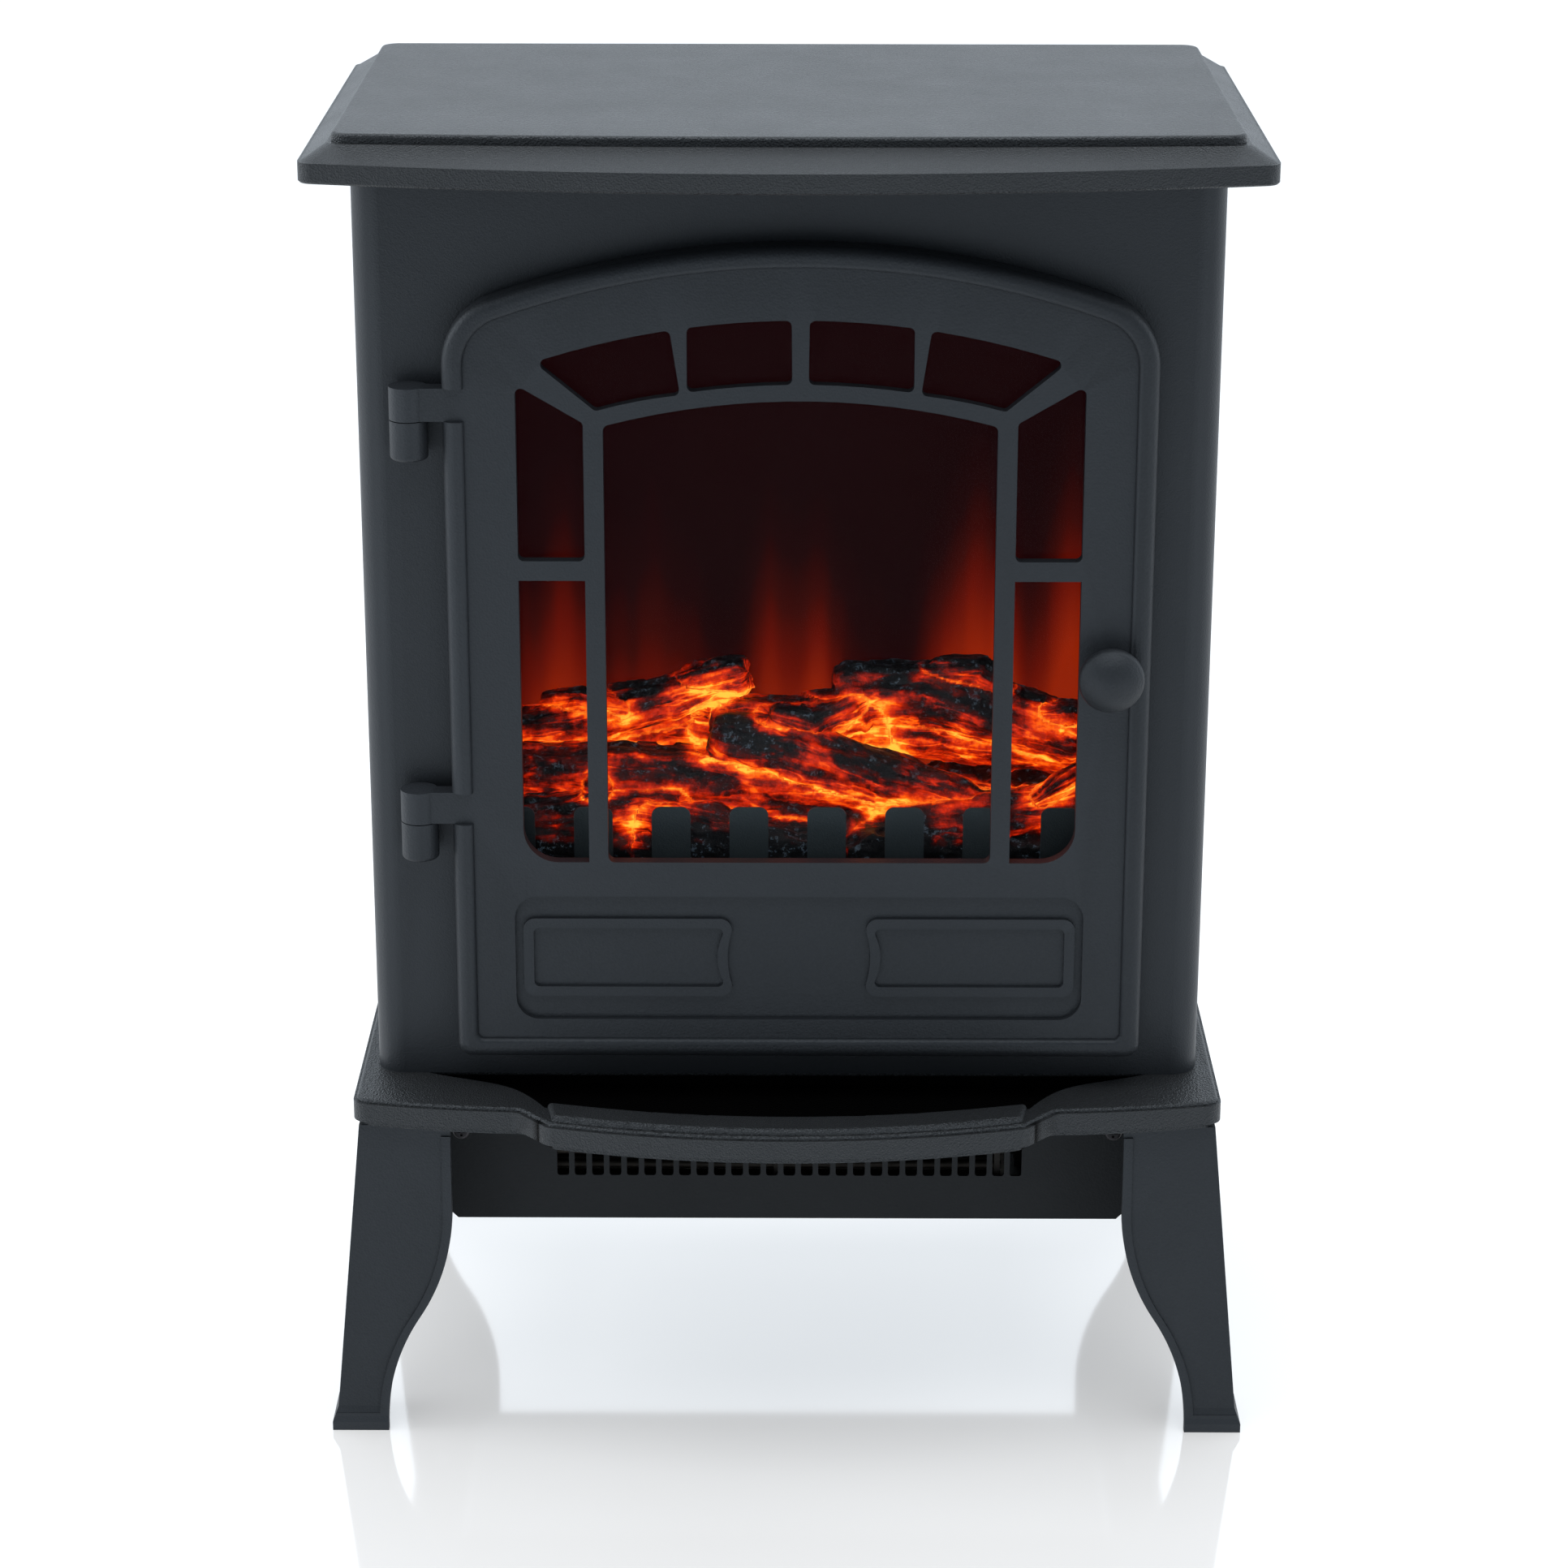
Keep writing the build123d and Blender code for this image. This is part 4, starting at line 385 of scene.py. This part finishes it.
# colour, roughness, grain and bump of the moulded pieces
MOULDED = ((0.0165, 0.0178, 0.0192), 0.4, 1300, 0.8)
SLOTS = {
    "moulded_black": lambda: paint("moulded_charcoal", *MOULDED),
    "cast_black": lambda: paint("cast_charcoal", (0.0135, 0.0157, 0.0188), 0.5, 1000, 0.25),
    "painted_steel": lambda: paint("powder_coat", (0.0128, 0.0146, 0.0172), 0.45, 1400, 0.18),
    "soot_black": lambda: paint("firebox_black", (0.006, 0.006, 0.006), 0.7, 900, 0.2, rub=0.1),
    "tinted_glass": lambda: glass("door_pane"),
    "flame_screen": lambda: flame_picture("flame_picture", 0.28, 0.44),
    "ember_logs": lambda: embers("embers"),
    "fret_grey": lambda: paint("fret_grey_paint", (0.04, 0.055, 0.062), 0.55, 1300, 0.3),
    "bright_steel": lambda: steel("plated_steel", (0.62, 0.62, 0.6), 0.3),
    "bright_vane": lambda: steel("vane_foil", (0.9, 0.9, 0.9), 0.15),
    "zinc_screw": lambda: steel("zinc_plate", (0.6, 0.61, 0.63), 0.34, (400, 400, 400)),
    "black_screw": lambda: steel("blacked_screw", (0.05, 0.05, 0.055), 0.4, (400, 400, 400)),
    "motor_steel": lambda: steel("motor_steel_sheet", (0.4, 0.4, 0.41), 0.42, (1500, 60, 60)),
    "copper_coil": lambda: steel("varnished_copper", (0.5, 0.2, 0.09), 0.35, (60, 60, 2500)),
    # The mica board's own brown is darkened to near black as painted shade, so the heater's inside looks
    # dark through the slots.
    "mica": lambda: plastic("mica_board", (0.012, 0.01, 0.008), 0.7, 300, 0.3),
    "element_wire": lambda: steel("resistance_wire", (0.06, 0.055, 0.05), 0.6, (2500, 60, 60)),
    "switch_black": lambda: plastic("switch_moulding", (0.012, 0.012, 0.014), 0.25, 1600, 0.05),
    "grey_plastic": lambda: plastic("grey_moulding", (0.42, 0.42, 0.4), 0.5),
    "circuit_green": lambda: plastic("circuit_lacquer", (0.012, 0.12, 0.05), 0.35, 500, 0.15),
    "lamp_amber": lambda: plastic("amber_dome", (0.9, 0.4, 0.06), 0.15, 600, 0.05),
    "magnet": lambda: plastic("ferrite", (0.05, 0.05, 0.05), 0.6, 700, 0.3),
}


# Painted shade: the pocket behind the base's lip and the wedges beside it are coloured near black,
# standing for the deep shadow under the body.
POCKET_SHADE = (0.0012, 0.0012, 0.0012)
POCKET_SHADE_SPECULAR = 0.02
POCKET_SHADE_TOP = 0.1563
POCKET_SHADE_REAR = -0.07
POCKET_SHADE_EDGE = 0.003
# half-width and front edge of the painted shade over the pocket's deep part and over its wedges to the
# sides
POCKET_SHADE_PATCHES = ((0.11, -0.1275), (0.161, -0.1035))


def shaded_pocket_base():
    """The base's moulded charcoal, with painted shade: near black and without sheen inside the pocket
    behind the lip.
    """
    s = painted("moulded_charcoal_base", *MOULDED)
    place = s.split(s.coords.outputs["Object"])
    level = None
    for half, front in POCKET_SHADE_PATCHES:
        patch = s.fade(place["Z"], POCKET_SHADE_TOP, POCKET_SHADE_TOP - 0.001)
        borders = (
            ("X", -half, POCKET_SHADE_EDGE - half),
            ("X", half, half - POCKET_SHADE_EDGE),
            ("Y", front, front + 0.001),
            ("Y", POCKET_SHADE_REAR, POCKET_SHADE_REAR - 0.002),
        )
        for axis, edge, inner in borders:
            patch = s.math("MULTIPLY", patch, s.fade(place[axis], edge, inner))
        level = s.math("MAXIMUM", level, patch) if level else patch
    unshaded = s.shader.inputs["Base Color"].links[0].from_socket
    # painted shade mixed over the pocket, with its sheen taken away too
    s.colour(s.mix(level, unshaded, POCKET_SHADE))
    s.link(s.fade(level, 0, 1, PAINT_SPECULAR, POCKET_SHADE_SPECULAR), s.shader.inputs["Specular IOR Level"])
    return s.material


def dress_nodes():
    """Gives every CAD node its slot's material, two of them darkened as painted shade, and returns the
    materials.
    """
    materials = {name: build() for name, build in SLOTS.items()}
    # Painted shade: the base's pocket, and the outlet grille behind the heater's slots in firebox black,
    # so both read as dark shadow.
    own = {"base_plate": shaded_pocket_base(), "outlet_grille": materials["soot_black"]}
    for part in frame["record"]["subparts"]:
        mesh = nodes[part["node"]].data
        mesh.materials.clear()
        mesh.materials.append(own.get(part["node"], materials[part["material_slot"]]))
    return materials


# ---------------------------------------------------------------- log bed
AROUND = 40
ALONG = 70
CAP_RINGS = 3


def log_tube(builder, points, radii, seed):
    """Rough log along a bent line, with a knobbly section and ends that are drawn in."""
    line = [Vector(point) * MM for point in points]
    rings = []
    for step in range(ALONG + 1):
        t = step / ALONG
        spot = min(t * (len(line) - 1), len(line) - 1.0001)
        index = int(spot)
        share = spot - index
        centre = line[index].lerp(line[index + 1], share)
        run = (line[index + 1] - line[index]).normalized()
        side = run.cross(Vector((0, 0, 1))).normalized()
        up = side.cross(run)
        radius = (radii[index] * (1 - share) + radii[index + 1] * share) * MM
        cap = min(t, 1 - t) * ALONG
        if cap < CAP_RINGS:
            radius *= 0.72 + 0.28 * cap / CAP_RINGS
        ring = []
        for turn in range(AROUND):
            angle = 2 * pi * turn / AROUND
            direction = side * cos(angle) + up * sin(angle)
            sample = Vector((cos(angle) * 1.6, sin(angle) * 1.6, t * 3.2 + seed * 7.3))
            ridge = noise.noise(Vector((cos(angle) * 4, sin(angle) * 4, t * 2 + seed)))
            swell = 1 + 0.2 * noise.noise(sample) + 0.12 * ridge
            ring.append(builder.verts.new(centre + direction * radius * swell))
        rings.append(ring)
    for low, high in zip(rings, rings[1:]):
        for turn in range(AROUND):
            after = (turn + 1) % AROUND
            builder.faces.new((low[turn], low[after], high[after], high[turn]))
    builder.faces.new(list(reversed(rings[0])))
    builder.faces.new(rings[-1])


# centre line of each log in millimetres, and its radius at each point of the line
LOGS = [
    (
        [(-134, -16, 276), (-70, -20, 276), (0, -16, 270), (70, -22, 262), (104, -26, 258)],
        [13, 15, 15, 13, 11],
    ),
    ([(-134, 0, 290), (-90, -2, 297), (-50, -4, 308), (-22, -8, 318)], [9, 11, 11, 9]),
    ([(-62, 2, 300), (-40, -6, 316), (-18, -10, 322)], [8, 9, 9]),
    ([(-34, -16, 296), (0, -18, 288), (40, -22, 276), (84, -30, 266)], [12, 14, 13, 10]),
    ([(20, -2, 312), (60, 0, 310), (100, -4, 300), (134, -10, 292)], [14, 15, 14, 13]),
    ([(-134, -34, 258), (-90, -34, 260), (-52, -30, 266)], [13, 14, 11]),
    ([(-60, -36, 262), (-30, -38, 256), (4, -38, 250)], [11, 12, 9]),
    ([(46, -32, 258), (90, -36, 262), (134, -30, 268)], [11, 12, 12]),
    ([(-110, 4, 302), (-92, -4, 306), (-72, -8, 304)], [6, 7, 6]),
    ([(64, -4, 322), (84, -6, 322), (96, -8, 316)], [6, 7, 5]),
    ([(112, -12, 302), (124, -14, 304), (134, -12, 302)], [6, 7, 6]),
    ([(-8, -20, 306), (10, -16, 300), (30, -10, 308)], [6, 8, 8]),
    ([(-84, -38, 276), (-84, -30, 277), (-84, -20, 278)], [5.5, 6, 6]),
    ([(-100, 4, 284), (-50, 4, 290), (-10, 0, 292), (40, 2, 290)], [11, 12, 12, 11]),
    ([(20, 4, 292), (70, 6, 290), (134, 4, 282)], [12, 13, 12]),
    ([(-34, -8, 302), (0, -10, 300), (36, -6, 304)], [9, 10, 10]),
    ([(112, -38, 272), (122, -32, 275), (134, -24, 280)], [6, 7, 7]),
]


BED_COLUMNS = 120
BED_ROWS = 34


def ember_bed(builder, low, high):
    """Low heap of coals under the logs, as a closed slab with a lumpy top."""
    top = []
    for row in range(BED_ROWS + 1):
        line = []
        for column in range(BED_COLUMNS + 1):
            x = low[0] + (high[0] - low[0]) * column / BED_COLUMNS
            y = low[1] + (high[1] - low[1]) * row / BED_ROWS
            coal = noise.noise(Vector((x * 90, y * 90, 1.7)))
            lump = coal + 0.5 * noise.noise(Vector((x * 220, y * 220, 4)))
            rise = 0.016 + 0.018 * row / BED_ROWS
            line.append(builder.verts.new((x, y, low[2] + rise + 0.005 * lump)))
        top.append(line)
    border = top[0] + [line[-1] for line in top[1:]] + top[-1][-2::-1] + [line[0] for line in top[-2:0:-1]]
    base = [builder.verts.new((vert.co.x, vert.co.y, low[2])) for vert in border]
    for near, far in zip(top, top[1:]):
        for column in range(BED_COLUMNS):
            builder.faces.new((near[column], near[column + 1], far[column + 1], far[column]))
    for index in range(len(border)):
        after = (index + 1) % len(border)
        builder.faces.new((border[index], base[index], base[after], border[after]))
    builder.faces.new(base)


BARK_RADIUS = 0.012


def log_field(points):
    """Nearest log of each point: gap to its skin, gap to the next log's skin, and bark coordinates."""
    gaps = np.full((len(LOGS), len(points)), np.inf)
    bark = np.zeros((len(LOGS), len(points), 3))
    for index, (line, radii) in enumerate(LOGS):
        line = np.array(line) * MM
        run_so_far = 0.0
        for start, end, low, high in zip(line, line[1:], radii, radii[1:]):
            run = end - start
            length = np.linalg.norm(run)
            share = np.clip((points - start) @ run / length**2, 0, 1)
            away = points - start - share[:, None] * run
            distance = np.linalg.norm(away, axis=1)
            gap = distance - (low + (high - low) * share) * MM
            nearer = gap < gaps[index]
            gaps[index][nearer] = gap[nearer]
            across = np.cross(run, (0, 0, 1))
            across /= np.linalg.norm(across)
            turn = np.arctan2(away @ across, -away @ np.cross(across, run) / length)
            own = np.full(len(points), index * 0.1)
            spot = np.stack([run_so_far + share * length, turn * BARK_RADIUS, own], axis=1)
            bark[index][nearer] = spot[nearer]
            run_so_far += length
    order = np.argsort(gaps, axis=0)
    every = np.arange(len(points))
    return gaps[order[0], every], gaps[order[1], every], bark[order[0], every]


CLEARANCE = 0.0002


def roughen(points, normals, bark, low, high):
    """The points pushed in and out along their normals like split, charred bark, inside the box."""
    moved = points.copy()
    for index, (place, grain) in enumerate(zip(points, bark)):
        split = noise.fractal(Vector((grain[0] * 45, grain[1] * 260, grain[2] * 30)), 0.9, 2.1, 3)
        knob = noise.noise(Vector(place * 95))
        chip = noise.cell(Vector((grain[0] * 120, grain[1] * 230, grain[2] * 30)))
        moved[index] += normals[index] * (0.0013 * split + 0.0012 * knob + 0.0006 * chip)
    return np.clip(moved, np.array(low) + CLEARANCE, np.array(high) - CLEARANCE)


def store(mesh, name, kind, key, values):
    """Keeps one value per vertex on the mesh."""
    attribute = mesh.attributes.new(name, kind, "POINT")
    attribute.data.foreach_set(key, np.ascontiguousarray(values, dtype=np.float32).ravel())


def ember_heat(points, normals):
    """Heat of each point from 0 to 1, with its bark coordinates: hottest where logs meet."""
    gap, next_gap, bark = log_field(points)
    crevice = np.exp(-np.maximum(next_gap - gap, 0) / 0.005)
    between = np.exp(-np.maximum(gap, 0) / 0.004) * (gap > 0.0015)
    crest = np.clip((points[:, 2] - 0.300) / 0.03, 0, 1) * np.clip(normals[:, 2], 0, 1)
    floor = np.clip((0.262 - points[:, 2]) / 0.012, 0, 1)
    heat = 0.44 + 0.42 * crevice + 0.18 * between - 0.12 * normals[:, 2] - 0.3 * crest - 0.45 * floor
    return np.clip(heat, 0, 1), bark


VOXEL = 0.0011


def merged_skin(piece):
    """The piece's solids remeshed into one smooth skin."""
    remesh = piece.modifiers.new("skin", "REMESH")
    remesh.mode = "VOXEL"
    remesh.voxel_size = VOXEL
    remesh.use_smooth_shade = True
    depsgraph = bpy.context.evaluated_depsgraph_get()
    skin = bpy.data.meshes.new_from_object(piece.evaluated_get(depsgraph))
    piece.modifiers.clear()
    return skin


def per_vertex(mesh, key):
    """One vector per vertex, as rows."""
    values = np.zeros(len(mesh.vertices) * 3, dtype=np.float32)
    mesh.vertices.foreach_get(key, values)
    return values.reshape(-1, 3).astype(float)


def make_log_bed(material):
    """One moulded log set: logs on coals, merged into a single skin, in place of the CAD block."""
    low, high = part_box("log_bed")
    builder = bmesh.new()
    for seed, (points, radii) in enumerate(LOGS):
        log_tube(builder, points, radii, seed)
    ember_bed(builder, low, high)
    bmesh.ops.recalc_face_normals(builder, faces=builder.faces)
    mesh = bpy.data.meshes.new("log_set")
    builder.to_mesh(mesh)
    builder.free()
    piece = bpy.data.objects.new("log_set", mesh)
    scene.collection.objects.link(piece)
    skin = merged_skin(piece)
    piece.data = skin
    points = per_vertex(skin, "co")
    normals = per_vertex(skin, "normal")
    heat, bark = ember_heat(points, normals)
    moved = roughen(points, normals, bark, low, high)
    skin.vertices.foreach_set("co", moved.astype(np.float32).ravel())
    skin.update()
    store(skin, "ember_heat", "FLOAT", "value", heat)
    store(skin, "bark", "FLOAT_VECTOR", "vector", bark)
    skin.materials.clear()
    skin.materials.append(material)
    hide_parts("log_bed")
    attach(piece, "root")


add_camera()
scene.view_settings.view_transform = "Standard"
add_room_light()
for light_name, light_settings in SOFTBOXES.items():
    softbox(light_name, *light_settings)
add_floor()
materials = dress_nodes()
make_log_bed(materials["ember_logs"])
